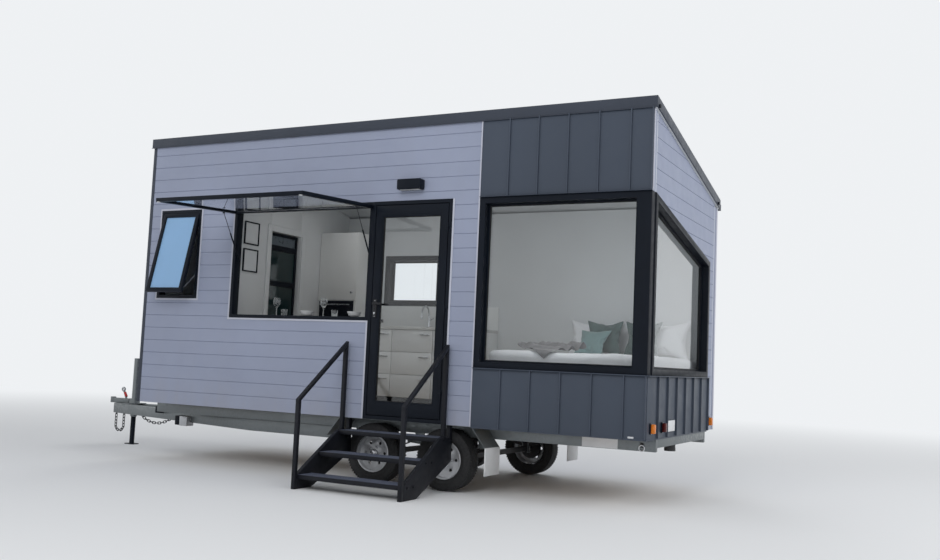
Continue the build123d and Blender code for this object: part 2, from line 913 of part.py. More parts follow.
mattress_z1 = floor_z + bed_base_height + mattress_t
pillow_gap = (bed_width - 2 * pillow_width) / 3
with BuildPart() as bedding:
    with BuildSketch(Plane.XY.offset(floor_z + bed_base_height)) as mattress_plan:
        with Locations(((bed_x0 + bed_x1) / 2, (bed_y0 + in_rear) / 2)):
            Rectangle(bed_width, bed_length)
        chamfer(mattress_plan.vertices(), mattress_corner)
    extrude(mattress_plan.sketch, amount=mattress_t)
    for index in range(2):
        pillow_x = bed_x0 + pillow_gap + index * (pillow_width + pillow_gap) + pillow_width / 2
        with BuildSketch(Plane.XZ.offset(pillow_t + fit_gap - in_rear)) as pillow_face:
            with Locations((pillow_x, mattress_z1 + fit_gap + pillow_height / 2)):
                Rectangle(pillow_width, pillow_height)
            chamfer(pillow_face.vertices(), pillow_corner)
        extrude(pillow_face.sketch, amount=-pillow_t)
    cushion_y1 = in_rear - pillow_t - 2 * fit_gap
    for start, y1 in (
        (cushion_in, cushion_y1),
        (cushion_in + cushion_size + cushion_apart, cushion_y1),
        (front_cushion_in, cushion_y1 - cushion_t - fit_gap),
    ):
        x0, z0 = bed_x0 + start, mattress_z1 + fit_gap
        block(x0, x0 + cushion_size, y1 - cushion_t, y1, z0, z0 + cushion_size)
bedding.part.label = "bedding"
export_step(bedding.part, "parts/bedding.step")

# Chassis rails and cross members
rail_z0 = foot_z - rail_height
rail_in = rail_spread - rail_width / 2
rail_out = rail_spread + rail_width / 2
with BuildPart() as chassis_rails:
    for side in (-1, 1):
        y = mid_y + side * rail_spread
        block(left_x, right_x, y - rail_width / 2, y + rail_width / 2, rail_z0, foot_z)
chassis_rails.part.label = "chassis_rails"
export_step(chassis_rails.part, "parts/chassis_rails.step")

cross_step = (house_length - cross_width) / (cross_count - 1)
with BuildPart() as cross_members:
    for index in range(cross_count):
        x = left_x + index * cross_step
        block(x, x + cross_width, mid_y - rail_in, mid_y + rail_in, foot_z - cross_height, foot_z)
cross_members.part.label = "cross_members"
export_step(cross_members.part, "parts/cross_members.step")

# Drawbar: a rail under each chassis rail, turning in to a boxed nose
nose_x = left_x - coupling_reach
bar_end_x = nose_x + nose_length
bar_z0 = rail_z0 - rail_height
bar_z1 = rail_z0
bend_x = left_x + drawbar_bend


def bar_y(x):
    """Distance of a drawbar rail's middle line from the house's middle line, ahead of the bend."""
    return nose_gap + (x - bar_end_x) * (rail_spread - nose_gap) / (bend_x - bar_end_x)


with BuildPart() as drawbar:
    for side in (-1, 1):
        with BuildSketch(Plane.XY.offset(bar_z0)) as bar_plan:
            with BuildLine() as bar_line:
                Polyline(
                    (left_x + drawbar_start, mid_y + side * rail_spread),
                    (bend_x, mid_y + side * rail_spread),
                    (bar_end_x, mid_y + side * nose_gap),
                )
            trace(bar_line.line, line_width=rail_width)
        extrude(bar_plan.sketch, amount=rail_height)
    block(bar_end_x, bar_end_x + nose_box, mid_y - nose_gap, mid_y + nose_gap, bar_z0, bar_z1)
drawbar.part.label = "drawbar"
export_step(drawbar.part, "parts/drawbar.step")

# Coupling on the drawbar's nose: a downward ball socket, a tapered body and its lever
ball_x = nose_x + ball_r + ball_wall
body_x0 = ball_x + ball_r
body_x1 = bar_end_x + nose_box
body_z1 = bar_z1 + head_height_over - coupling_rise
with BuildPart() as coupling:
    with BuildSketch(Plane.XY.offset(bar_z1)) as body_plan:
        Polygon(
            (body_x0, mid_y - coupling_neck),
            (bar_end_x, mid_y - coupling_half),
            (body_x1, mid_y - coupling_half),
            (body_x1, mid_y + coupling_half),
            (bar_end_x, mid_y + coupling_half),
            (body_x0, mid_y + coupling_neck),
            align=None,
        )
    extrude(body_plan.sketch, amount=body_z1 - bar_z1)
    with BuildSketch(Plane.XY.offset(bar_z1)) as head_round:
        with Locations((ball_x, mid_y)):
            Circle(ball_r + ball_wall)
    extrude(head_round.sketch, amount=head_height_over)
    with BuildSketch(Plane.XY.offset(bar_z1)) as socket_round:
        with Locations((ball_x, mid_y)):
            Circle(ball_r)
    extrude(socket_round.sketch, amount=2 * ball_r, mode=Mode.SUBTRACT)
    lever_foot_x = nose_x + lever_back
    lever_top_x = lever_foot_x - lever_lean
    with BuildSketch(Plane.XZ.offset(-mid_y)) as lever_side:
        with BuildLine() as lever_line:
            Line((lever_foot_x, body_z1 - ring_r), (lever_top_x, body_z1 + lever_rise))
        trace(lever_line.line, line_width=lever_width)
        with Locations((lever_top_x, body_z1 + lever_rise)):
            RegularPolygon(ring_r, ring_sides, major_radius=False)
            RegularPolygon(ring_hole_r, ring_sides, major_radius=False, mode=Mode.SUBTRACT)
    extrude(lever_side.sketch, amount=lever_plate / 2, both=True)
coupling.part.label = "coupling"
export_step(coupling.part, "parts/coupling.step")

# Jack stand on the drawbar: a clamped tube with the black leg inside it
jack_x = nose_x + jack_back
with BuildPart() as jack_tube:
    with BuildSketch(Plane.XY.offset(bar_z0 - jack_low)) as jack_round:
        with Locations((jack_x, mid_y)):
            Circle(jack_r)
            Circle(leg_r + fit_gap, mode=Mode.SUBTRACT)
    extrude(jack_round.sketch, amount=jack_top + jack_low - bar_z0)
    for low, high, length, width in (
        (bar_z1, bar_z1 + jack_plate_t, jack_plate, 2 * bar_y(jack_x) + rail_width),
        (bar_z1 + jack_plate_t, bar_z1 + jack_plate_t + clamp_height, clamp_width, clamp_width),
    ):
        with BuildSketch(Plane.XY.offset(low)) as plate_plan:
            with Locations((jack_x, mid_y)):
                Rectangle(length, width)
                Circle(leg_r + fit_gap, mode=Mode.SUBTRACT)
        extrude(plate_plan.sketch, amount=high - low)
jack_tube.part.label = "jack_tube"
export_step(jack_tube.part, "parts/jack_tube.step")

with BuildPart() as jack_leg:
    with BuildSketch(Plane.XY.offset(jack_foot_t)) as leg_round:
        with Locations((jack_x, mid_y)):
            Circle(leg_r)
    extrude(leg_round.sketch, amount=leg_top - jack_foot_t)
    with BuildSketch(Plane.XY) as foot_plate:
        with Locations((jack_x, mid_y)):
            Rectangle(jack_foot_length, jack_foot_width)
        chamfer(foot_plate.vertices(), jack_foot_corner)
    extrude(foot_plate.sketch, amount=jack_foot_t)
jack_leg.part.label = "jack_leg"
export_step(jack_leg.part, "parts/jack_leg.step")

# Safety chains: each hangs between two lugs under the drawbar, link through link
bar_step = chain_link - chain_wire


def heading(ahead, angle):
    """A direction in the upright plane along ahead, at an angle above the level."""
    return ahead * cos(radians(angle)) + Vector(0, 0, 1) * sin(radians(angle))


def wire_reach(angle):
    """How far a square wire reaches from its middle, turned by an angle."""
    turn = radians(abs(angle))
    return chain_wire / 2 * (cos(turn) + sin(turn))


def link_ring(plane):
    """One link: a ring with cut corners, lying in a plane whose x runs along the chain."""
    with BuildSketch(plane) as link:
        Rectangle(chain_link, chain_width)
        chamfer(link.vertices(), chain_corner)
        Rectangle(chain_link - 2 * chain_wire, chain_width - 2 * chain_wire, mode=Mode.SUBTRACT)
    extrude(link.sketch, amount=chain_wire / 2, both=True)


def lug(bar, ahead, half):
    """A plate under the drawbar, in the chain's plane, with a square hole round the link's bar."""
    with BuildSketch(Plane(origin=bar, x_dir=ahead, z_dir=ahead.cross(Vector(0, 0, 1)))) as side:
        low = -half - lug_under
        with Locations((0, (low + bar_z0 - bar.Z) / 2)):
            Rectangle(lug_length, bar_z0 - bar.Z - low)
        Rectangle(2 * half, 2 * half, mode=Mode.SUBTRACT)
    extrude(side.sketch, amount=lug_t / 2, both=True)


def chain(x, y, ahead, angles):
    """A chain hung from a lug at x, y, with one link for each angle, and the lug at its end."""
    half = wire_reach(90 - abs(angles[0])) + fit_gap
    bar = Vector(x, y, bar_z0 - lug_over - half)
    across = Vector(0, 0, 1).cross(ahead)
    lug(bar, ahead, half)
    for index, angle in enumerate(angles):
        along = heading(ahead, angle)
        far_bar = bar + along * bar_step
        normal = along.cross(across) if index % 2 == 0 else across
        link_ring(Plane(origin=(bar + far_bar) / 2, x_dir=along, z_dir=normal))
        if index + 1 < len(angles):
            turn = (angles[index + 1] - angle) / 2
            bar = far_bar - heading(ahead, angle + turn) * (2 * wire_reach(turn) + fit_gap)
    lug(far_bar, ahead, half)


loop_angles = [
    *[-90] * loop_straight_count,
    *range(loop_turn - 90, 90, loop_turn),
    *[90] * loop_straight_count,
]
trail_angles = list(range(-trail_slope, trail_slope + 1, trail_turn))
trail_x = nose_x + trail_start
bar_run = Vector(bend_x - bar_end_x, rail_spread - nose_gap, 0).normalized()
with BuildPart() as safety_chains:
    chain(nose_x + loop_start, mid_y - chain_side, Vector(1, 0, 0), loop_angles)
    chain(trail_x, mid_y + bar_y(trail_x), bar_run, trail_angles)
safety_chains.part.label = "safety_chains"
export_step(safety_chains.part, "parts/safety_chains.step")

# Axles: square beams with turned spindles and a seat under each spring
axle_xs = [left_x + door_start + axle_lead + index * axle_spacing for index in range(2)]
tyre_half = tyre_width / 2
beam_half = wheel_track - tyre_half - spindle_end
spindle_out = wheel_track + disc_out + hub_length / 2
beam_z1 = axle_z + axle_beam / 2
with BuildPart() as axles:
    for x in axle_xs:
        block(
            x - axle_beam / 2,
            x + axle_beam / 2,
            mid_y - beam_half,
            mid_y + beam_half,
            axle_z - axle_beam / 2,
            beam_z1,
        )
        with BuildSketch(Plane.XZ.offset(-mid_y)) as spindle_round:
            with Locations((x, axle_z)):
                Circle(spindle_r)
        extrude(spindle_round.sketch, amount=spindle_out, both=True)
        for side in (-1, 1):
            y = mid_y + side * rail_spread
            block(
                x - seat_length / 2,
                x + seat_length / 2,
                y - leaf_width / 2,
                y + leaf_width / 2,
                beam_z1,
                beam_z1 + leaf_t,
            )
axles.part.label = "axles"
export_step(axles.part, "parts/axles.step")

# Leaf springs: packs of stepped leaves over the axles, rolled into an eye at each end
pack_z0 = beam_z1 + leaf_t + fit_gap
main_z = pack_z0 + (leaf_count - 0.5) * leaf_t
main_r = (spring_half**2 + spring_rise**2) / (2 * spring_rise)
eye_z = main_z + spring_rise
with BuildPart() as leaf_springs:
    for x in axle_xs:
        for side in (-1, 1):
            with BuildSketch(Plane.XZ.offset(-(mid_y + side * rail_spread))) as spring_side:
                for leaf in range(leaf_count):
                    r = main_r + leaf * leaf_t
                    half = spring_half - leaf * leaf_step
                    end_z = main_z + main_r - sqrt(r**2 - half**2)
                    low_z = main_z - leaf * leaf_t
                    with BuildLine() as leaf_line:
                        ThreePointArc((x - half, end_z), (x, low_z), (x + half, end_z))
                    trace(leaf_line.line, line_width=leaf_t)
                for end in (-1, 1):
                    with Locations((x + end * spring_half, eye_z + eye_r - leaf_t / 2)):
                        RegularPolygon(eye_r, eye_sides, major_radius=False)
            extrude(spring_side.sketch, amount=leaf_width / 2, both=True)
leaf_springs.part.label = "leaf_springs"
export_step(leaf_springs.part, "parts/leaf_springs.step")

# Spring hangers: cheeks beside the outer eyes, and a post with a rocker between the inner ones
pivot_z = eye_z + eye_r - leaf_t / 2
cheek_in = leaf_width / 2 + fit_gap
rocker_x = (axle_xs[0] + axle_xs[1]) / 2
rocker_half = axle_spacing / 2 - spring_half
with BuildPart() as spring_hangers:
    for side in (-1, 1):
        y = mid_y + side * rail_spread
        for cheek in (-1, 1):
            cheek_y = y + cheek * (cheek_in + hanger_t / 2)
            for x in (axle_xs[0] - spring_half, axle_xs[1] + spring_half):
                with BuildSketch(Plane.XZ.offset(-cheek_y)) as cheek_side:
                    Polygon(
                        (x - hanger_top / 2, rail_z0),
                        (x - hanger_foot / 2, pivot_z - eye_r),
                        (x + hanger_foot / 2, pivot_z - eye_r),
                        (x + hanger_top / 2, rail_z0),
                        align=None,
                    )
                extrude(cheek_side.sketch, amount=hanger_t / 2, both=True)
            with BuildSketch(Plane.XZ.offset(-(y + cheek * (cheek_in + rocker_t / 2)))) as rocker_side:
                Polygon(
                    (rocker_x - rocker_half - rocker_nose, pivot_z - rocker_nose / 2),
                    (rocker_x - rocker_half - rocker_nose, pivot_z + rocker_nose / 2),
                    (rocker_x, pivot_z + rocker_deep / 2),
                    (rocker_x + rocker_half + rocker_nose, pivot_z + rocker_nose / 2),
                    (rocker_x + rocker_half + rocker_nose, pivot_z - rocker_nose / 2),
                    (rocker_x, pivot_z - rocker_deep / 2),
                    align=None,
                )
            extrude(rocker_side.sketch, amount=rocker_t / 2, both=True)
        with BuildSketch(Plane.XZ.offset(-y)) as post_side:
            Polygon(
                (rocker_x - hanger_top / 2, rail_z0),
                (rocker_x - hanger_foot / 2, pivot_z - eye_r),
                (rocker_x + hanger_foot / 2, pivot_z - eye_r),
                (rocker_x + hanger_top / 2, rail_z0),
                align=None,
            )
        extrude(post_side.sketch, amount=leaf_width / 2, both=True)
spring_hangers.part.label = "spring_hangers"
export_step(spring_hangers.part, "parts/spring_hangers.step")


# Four wheels, each a tyre on a flanged rim whose disc has hand holes and a hub
def wheel_round(radius, mode=Mode.ADD):
    """The wheel's outline at a radius, with a flat side down."""
    RegularPolygon(
        radius, wheel_sides, major_radius=False, rotation=180 / wheel_sides, mode=mode
    )


def wheel_ring(plane, outer, inner, amount):
    """A ring of the wheel's outline between two radii, added to the piece being made."""
    with BuildSketch(plane) as ring_face:
        wheel_round(outer)
        wheel_round(inner, mode=Mode.SUBTRACT)
    extrude(ring_face.sketch, amount=amount)


bead_half = tyre_half - bead_in
for side, side_name in ((-1, "near"), (1, "far")):
    for x, end_name in zip(axle_xs, ("front", "rear")):
        middle = Plane(
            origin=(x, mid_y + side * wheel_track, axle_z), x_dir=(1, 0, 0), z_dir=(0, side, 0)
        )
        with BuildPart() as tyre:
            with BuildSketch(middle) as crown:
                wheel_round(tyre_r)
            extrude(crown.sketch, amount=tyre_half, both=True)
            sides = tyre.faces().sort_by(Axis.Y)
            chamfer(sides[0].edges() + sides[-1].edges(), shoulder)
            for end in (-1, 1):
                with BuildSketch(middle.offset(end * bead_half)) as recess:
                    wheel_round(rim_r + bead_rise)
                extrude(recess.sketch, amount=end * bead_in, mode=Mode.SUBTRACT)
            with BuildSketch(middle) as bore:
                wheel_round(rim_r + fit_gap)
            extrude(bore.sketch, amount=bead_half, both=True, mode=Mode.SUBTRACT)
        tyre.part.label = f"tyre_{side_name}_{end_name}"
        export_step(tyre.part, f"parts/tyre_{side_name}_{end_name}.step")
        with BuildPart() as rim:
            seat_half = bead_half + fit_gap
            wheel_ring(middle.offset(-seat_half), rim_r, rim_r - rim_t, 2 * seat_half)
            wheel_ring(middle.offset(seat_half), rim_r + flange_rise, rim_r - rim_t, flange_t)
            with BuildSketch(middle.offset(disc_out)) as disc:
                wheel_round(rim_r - rim_t)
                with PolarLocations(hand_hole_ring, hand_holes):
                    RegularPolygon(hand_hole_r, hand_holes, mode=Mode.SUBTRACT)
            extrude(disc.sketch, amount=disc_t)
            hub_foot = middle.offset(disc_out + disc_t - hub_length / 2)
            with BuildSketch(hub_foot) as hub:
                RegularPolygon(hub_r, hub_sides)
            extrude(hub.sketch, amount=hub_length)
            with BuildSketch(hub_foot) as spindle_bore:
                Circle(spindle_r + fit_gap)
            extrude(spindle_bore.sketch, amount=hub_length - rim_t, mode=Mode.SUBTRACT)
        rim.part.label = f"rim_{side_name}_{end_name}"
        export_step(rim.part, f"parts/rim_{side_name}_{end_name}.step")

# Mudguards over each pair of wheels, and their flaps
guard_x0 = axle_xs[0] - tyre_r - guard_rise
guard_x1 = axle_xs[1] + tyre_r + guard_rise
guard_z = foot_z
with BuildPart() as mudguards:
    for side in (-1, 1):
        y_in = mid_y + side * (rail_out + fit_gap)
        y_out = mid_y + side * (rail_out + guard_width)
        with BuildSketch(Plane.XZ.offset(-min(y_in, y_out))) as guard_side:
            with BuildLine() as guard_line:
                Polyline(
                    (guard_x0 - guard_slope, guard_z - guard_t / 2 - guard_drop),
                    (guard_x0, guard_z - guard_t / 2),
                    (guard_x1, guard_z - guard_t / 2),
                    (guard_x1 + guard_slope, guard_z - guard_t / 2 - guard_drop),
                    (guard_x1 + guard_slope, guard_z - guard_t / 2 - guard_drop - guard_lip),
                )
            trace(guard_line.line, line_width=guard_t)
        extrude(guard_side.sketch, amount=-abs(y_out - y_in))
mudguards.part.label = "mudguards"
export_step(mudguards.part, "parts/mudguards.step")

flap_x0 = guard_x1 + guard_slope + guard_t / 2 + fit_gap
flap_z1 = guard_z - guard_t / 2 - guard_drop
with BuildPart() as mud_flaps:
    for side in (-1, 1):
        y_in = mid_y + side * (rail_out + fit_gap)
        y_out = mid_y + side * (rail_out + guard_width)
        block(flap_x0, flap_x0 + flap_t, min(y_in, y_out), max(y_in, y_out), flap_z1 - flap_height, flap_z1)
mud_flaps.part.label = "mud_flaps"
export_step(mud_flaps.part, "parts/mud_flaps.step")

# Steps: treads between two stringers, with a handrail on each side
step_x0 = left_x + door_start - step_lead
step_x1 = step_x0 + step_width
tread_fronts = [front_y - step_front - index * step_going for index in range(step_count)]
tread_tops = [foot_z - first_drop - index * step_rise for index in range(step_count)]
with BuildPart() as step_treads:
    for y, z in zip(tread_fronts, tread_tops):
        with BuildSketch(Plane.YZ.offset(step_x0 + stringer_t)) as tread_section:
            with Locations((y + step_depth / 2, z - tread_t / 2)):
                Rectangle(step_depth, tread_t)
            with Locations((y + step_depth / 2, z - (tread_t + tread_skin) / 2)):
                Rectangle(step_depth - 2 * tread_skin, tread_t - tread_skin, mode=Mode.SUBTRACT)
            for groove in range(groove_count):
                with Locations((y + groove_in + groove * groove_pitch, z - groove_depth / 2)):
                    Rectangle(groove_width, groove_depth, mode=Mode.SUBTRACT)
        extrude(tread_section.sketch, amount=step_width - 2 * stringer_t)
step_treads.part.label = "step_treads"
export_step(step_treads.part, "parts/step_treads.step")

with BuildPart() as step_stringers:
    for x in (step_x0, step_x1 - stringer_t):
        with BuildSketch(Plane.YZ.offset(x)) as stringer_side:
            Polygon(
                (tread_fronts[0] + step_depth, tread_tops[0]),
                (tread_fronts[0], tread_tops[0]),
                (tread_fronts[-1], tread_tops[-1]),
                (tread_fronts[-1], 0),
                (tread_fronts[-1] + step_depth, 0),
                (tread_fronts[0] + step_depth, tread_tops[0] - step_depth),
                align=None,
            )
        extrude(stringer_side.sketch, amount=stringer_t)
        hook_y = tread_fronts[0] + step_depth - hook_width
        block(x, x + stringer_t, hook_y, hook_y + hook_width, tread_tops[0], foot_z - guard_t)
step_stringers.part.label = "step_stringers"
export_step(step_stringers.part, "parts/step_stringers.step")

rail_y0 = tread_fronts[-1] - rail_post
rail_y1 = front_y - wall_gap


def rail_under(y):
    """Height of the handrail's underside over the line y."""
    return foot_z + rail_high - rail_post - (rail_y1 - y) * (rail_high - rail_low) / (rail_y1 - rail_y0)


with BuildPart() as handrail_posts:
    for x in (step_x0, step_x1 - rail_post):
        for y, low in ((rail_y0, 0), (rail_y1 - rail_post, tread_tops[0])):
            with BuildSketch(Plane.YZ.offset(x)) as post_side:
                Polygon(
                    (y, low),
                    (y + rail_post, low),
                    (y + rail_post, rail_under(y + rail_post)),
                    (y, rail_under(y)),
                    align=None,
                )
            extrude(post_side.sketch, amount=rail_post)
handrail_posts.part.label = "handrail_posts"
export_step(handrail_posts.part, "parts/handrail_posts.step")

with BuildPart() as handrails:
    for x in (step_x0, step_x1 - rail_post):
        with BuildSketch(Plane.YZ.offset(x)) as rail_side:
            Polygon(
                (rail_y0, rail_under(rail_y0)),
                (rail_y1, rail_under(rail_y1)),
                (rail_y1, rail_under(rail_y1) + rail_post),
                (rail_y0, rail_under(rail_y0) + rail_post),
                align=None,
            )
        extrude(rail_side.sketch, amount=rail_post)
handrails.part.label = "handrails"
export_step(handrails.part, "parts/handrails.step")

# Marker and tail lights at the glazed end
with BuildPart() as tail_lights:
    low, high = foot_z + lamp_low, foot_z + lamp_low + lamp_height
    for y, seat_x in (
        (front_y + lamp_in, right_x + pan_t),
        (front_y + stop_lamp_in, right_x + pan_t),
        (rear_y - far_lamp_in - lamp_width, right_x),
    ):
        block(seat_x, seat_x + lamp_t, y, y + lamp_width, low, high)
tail_lights.part.label = "tail_lights"
export_step(tail_lights.part, "parts/tail_lights.step")
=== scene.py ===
"""A tiny house on a tandem trailer, dressed round its solid model.

The house has boarded walls, seamed cladding round a glazed corner, a servery sash lifted on
struts, a glazed entry door over three steps, and a galvanised trailer. Lengths are in metres in
the part's own frame: +X towards the glazed corner, +Y from the door side to the rear, +Z up.
"""
import json
import logging
from dataclasses import dataclass, field
from enum import Enum
from math import cos, inf, pi, radians, sin, tan

import bmesh
import bpy
from bmesh.types import BMEdge, BMesh, BMFace, BMVert
from bpy.types import Material, Node, NodeSocket, NodeTree, Object
from mathutils import Matrix, Vector, noise

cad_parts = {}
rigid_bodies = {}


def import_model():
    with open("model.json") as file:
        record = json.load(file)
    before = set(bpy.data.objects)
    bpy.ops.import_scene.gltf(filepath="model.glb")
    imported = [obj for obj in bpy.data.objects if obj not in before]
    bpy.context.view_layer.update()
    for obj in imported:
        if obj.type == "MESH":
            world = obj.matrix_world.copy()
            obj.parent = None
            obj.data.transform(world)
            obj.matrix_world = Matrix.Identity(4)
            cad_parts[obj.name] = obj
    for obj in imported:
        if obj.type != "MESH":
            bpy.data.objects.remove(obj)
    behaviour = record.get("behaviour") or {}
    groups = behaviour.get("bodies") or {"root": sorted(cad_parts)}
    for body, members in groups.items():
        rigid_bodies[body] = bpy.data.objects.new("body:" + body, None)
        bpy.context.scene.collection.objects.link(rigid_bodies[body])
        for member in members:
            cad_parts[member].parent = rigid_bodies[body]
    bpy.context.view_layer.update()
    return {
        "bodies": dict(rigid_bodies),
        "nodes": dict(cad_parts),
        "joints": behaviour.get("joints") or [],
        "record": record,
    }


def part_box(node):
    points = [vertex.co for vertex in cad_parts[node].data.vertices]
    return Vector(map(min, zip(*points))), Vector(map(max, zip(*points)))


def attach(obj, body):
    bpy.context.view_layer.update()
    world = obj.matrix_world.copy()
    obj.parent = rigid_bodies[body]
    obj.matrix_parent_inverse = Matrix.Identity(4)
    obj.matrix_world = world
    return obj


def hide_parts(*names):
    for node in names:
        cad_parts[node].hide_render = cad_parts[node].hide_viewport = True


LOG = logging.getLogger("tiny_house")
HOUSE = "house"
SHARP = radians(30)
ALONG = Vector((1.0, 0.0, 0.0))
REAR = Vector((0.0, 1.0, 0.0))
UP = Vector((0.0, 0.0, 1.0))
Colour = tuple[float, float, float]
Point = Vector | tuple[float, float, float]
Box = tuple[Vector, Vector]
Outline = list[tuple[float, float]]
Profile = tuple[tuple[float, float], ...]


class Way(Enum):
    """The direction in which a finish's grain or streaks run."""

    EVEN = (1.0, 1.0, 1.0)
    ALONG_X = (0.06, 1.0, 1.0)
    ALONG_Y = (1.0, 0.06, 1.0)
    UPRIGHT = (1.0, 1.0, 0.06)


class Tree:
    """A node tree, with short ways to add its nodes and to feed their sockets."""

    def __init__(self, tree: NodeTree) -> None:
        """Takes up a node tree."""
        self.tree = tree

    def feed(self, socket: NodeSocket, value: object) -> None:
        """Links an input to another node's output, or gives it a plain value.

        Args:
            socket: The input.
            value: The output or the value.
        """
        if isinstance(value, NodeSocket):
            self.tree.links.new(value, socket)
        else:
            socket.default_value = value

    def add(self, kind: str, inputs: dict | None = None, **settings: object) -> Node:
        """Adds a node.

        Args:
            kind: The node's type.
            inputs: What its input sockets are fed, by socket name or number.
            settings: Values for its own properties.

        Returns:
            The new node.
        """
        node = self.tree.nodes.new(kind)
        for name, value in settings.items():
            setattr(node, name, value)
        for name, value in (inputs or {}).items():
            self.feed(node.inputs[name], value)
        return node


class Graph(Tree):
    """A material's node tree, with the patterns that the finishes are made of."""

    def __init__(self, name: str) -> None:
        """Starts a material by its name, with only its main shader.

        Args:
            name: The name.
        """
        self.material: Material = bpy.data.materials.new(name)
        self.material.use_nodes = True
        super().__init__(self.material.node_tree)
        self.shader: Node = self.tree.nodes["Principled BSDF"]
        self.place: NodeSocket = self.add("ShaderNodeTexCoord").outputs["Object"]

    def set(self, **values: object) -> None:
        """Feeds the main shader's own sockets, with spaces written as underscores."""
        for name, value in values.items():
            self.feed(self.shader.inputs[name.replace("_", " ")], value)

    def noise(self, scale: float, detail: float = 3.0, way: Way = Way.EVEN) -> NodeSocket:
        """Cloudy noise in the object's own coordinates.

        Args:
            scale: Patches to a metre.
            detail: How many finer layers it has.
            way: The direction along which the patches are drawn out.

        Returns:
            The noise's value, from 0 to 1.
        """
        mapping = self.add("ShaderNodeMapping", {"Vector": self.place, "Scale": way.value})
        where = mapping.outputs["Vector"]
        return self.add(
            "ShaderNodeTexNoise", {"Vector": where, "Scale": scale, "Detail": detail}
        ).outputs["Fac"]

    def cells(self, scale: float) -> NodeSocket:
        """Flat crystal-like cells, each with a value of its own."""
        return self.add("ShaderNodeTexVoronoi", {"Vector": self.place, "Scale": scale}).outputs["Color"]

    def spread(self, value: NodeSocket, low: float, high: float) -> NodeSocket:
        """Maps the middle of a noise's range, 0.3 to 0.7, onto the range from low to high."""
        return self.add(
            "ShaderNodeMapRange",
            {"Value": value, "From Min": 0.3, "From Max": 0.7, "To Min": low, "To Max": high},
        ).outputs["Result"]

    def mix(self, share: object, first: object, second: object) -> NodeSocket:
        """Mixes two colours, each given with its opacity or as an output, by the second's share."""
        inputs = {"Factor": share, "A": first, "B": second}
        return self.add("ShaderNodeMix", inputs, data_type="RGBA").outputs["Result"]

    def between(self, value: NodeSocket, first: Colour, second: Colour) -> NodeSocket:
        """A colour between two, chosen by a noise."""
        return self.mix(self.spread(value, 0.0, 1.0), (*first, 1.0), (*second, 1.0))

    def cover(self, colour: object, share: object) -> None:
        """Lays a colour over the surface's own, by a share."""
        base = self.shader.inputs["Base Color"]
        self.feed(base, self.mix(share, base.links[0].from_socket, colour))

    def relief(self, height: NodeSocket, depth: float, strength: float = 1.0) -> None:
        """Raises the surface by a pattern.

        Args:
            height: The pattern.
            depth: Its height in metres.
            strength: How much of it shows.
        """
        node = self.add("ShaderNodeBump", {"Strength": strength, "Distance": depth, "Height": height})
        before = self.shader.inputs["Normal"]
        if before.is_linked:
            self.feed(node.inputs["Normal"], before.links[0].from_socket)
        self.feed(before, node.outputs["Normal"])


def shaded(colour: Colour, share: float) -> Colour:
    """A colour made darker by a share, or lighter by a negative one."""
    return tuple(min(1.0, part * (1.0 - share)) for part in colour)


@dataclass(frozen=True)
class Finish:
    """A coat of paint or powder: patchy by a little, with a fine grain.

    Attributes:
        name: What the finish is.
        colour: Its middle colour.
        roughness: Its middle roughness.
        metallic: 1 for bare metal.
        shade: How much darker its darker patches are.
        patch: Patches to a metre.
        grain: Grains to a metre.
        depth: The grain's height in metres.
        way: The direction of its streaks.
        gloss: Its specular level.
    """

    name: str
    colour: Colour
    roughness: float = 0.5
    metallic: float = 0.0
    shade: float = 0.1
    patch: float = 2.5
    grain: float = 450.0
    depth: float = 0.00015
    way: Way = Way.EVEN
    gloss: float = 0.5

    def pattern(self, graph: Graph) -> None:
        """Adds what a special finish has beyond the plain coat."""

    def shades(self, dark: float, light: float) -> tuple[Colour, Colour]:
        """The finish's colour made darker by one share and lighter by another."""
        return shaded(self.colour, dark), shaded(self.colour, -light)

    def material(self) -> Material:
        """Makes the finish's material, or gives the one made before.

        Returns:
            The material.
        """
        name = f"{self.name}_finish"
        made = bpy.data.materials.get(name)
        if made:
            return made
        graph = Graph(name)
        patches = graph.noise(self.patch, 4.0, self.way)
        uneven = graph.noise(self.patch * 6)
        graph.set(
            Base_Color=graph.between(patches, *self.shades(self.shade, self.shade)),
            Roughness=graph.spread(uneven, self.roughness * 0.85, self.roughness * 1.15),
            Metallic=self.metallic, Specular_IOR_Level=self.gloss,
        )
        graph.relief(graph.noise(self.grain, 2.0, self.way), self.depth)
        self.pattern(graph)
        return graph.material


@dataclass(frozen=True)
class Boarded(Finish):
    """Painted fibre-cement boards, with rain streaks and dust along the foot.

    Attributes:
        foot: The height at which the dust starts.
        dusty: How far up it fades.
        dust: Its colour.
        most: How much of it shows at the foot.
        least: How much of it shows above.
    """

    foot: float = 0.645
    dusty: float = 0.35
    dust: Colour = (0.33, 0.29, 0.24)
    most: float = 0.22
    least: float = 0.04

    def pattern(self, graph: Graph) -> None:
        """Adds upright streaks and dust that fades upwards.

        Args:
            graph: The material's node tree.
        """
        streaks = graph.spread(graph.noise(9.0, 5.0, Way.UPRIGHT), 0.2, 1.0)
        axes = graph.add("ShaderNodeSeparateXYZ", {"Vector": graph.place})
        top = self.foot + self.dusty
        rise = graph.add(
            "ShaderNodeMapRange",
            {"Value": axes.outputs["Z"], "From Min": self.foot, "From Max": top,
             "To Min": self.most, "To Max": self.least},
        )
        dust = graph.add("ShaderNodeMath", {0: rise.outputs["Result"], 1: streaks}, operation="MULTIPLY")
        graph.cover((*self.dust, 1.0), dust.outputs["Value"])


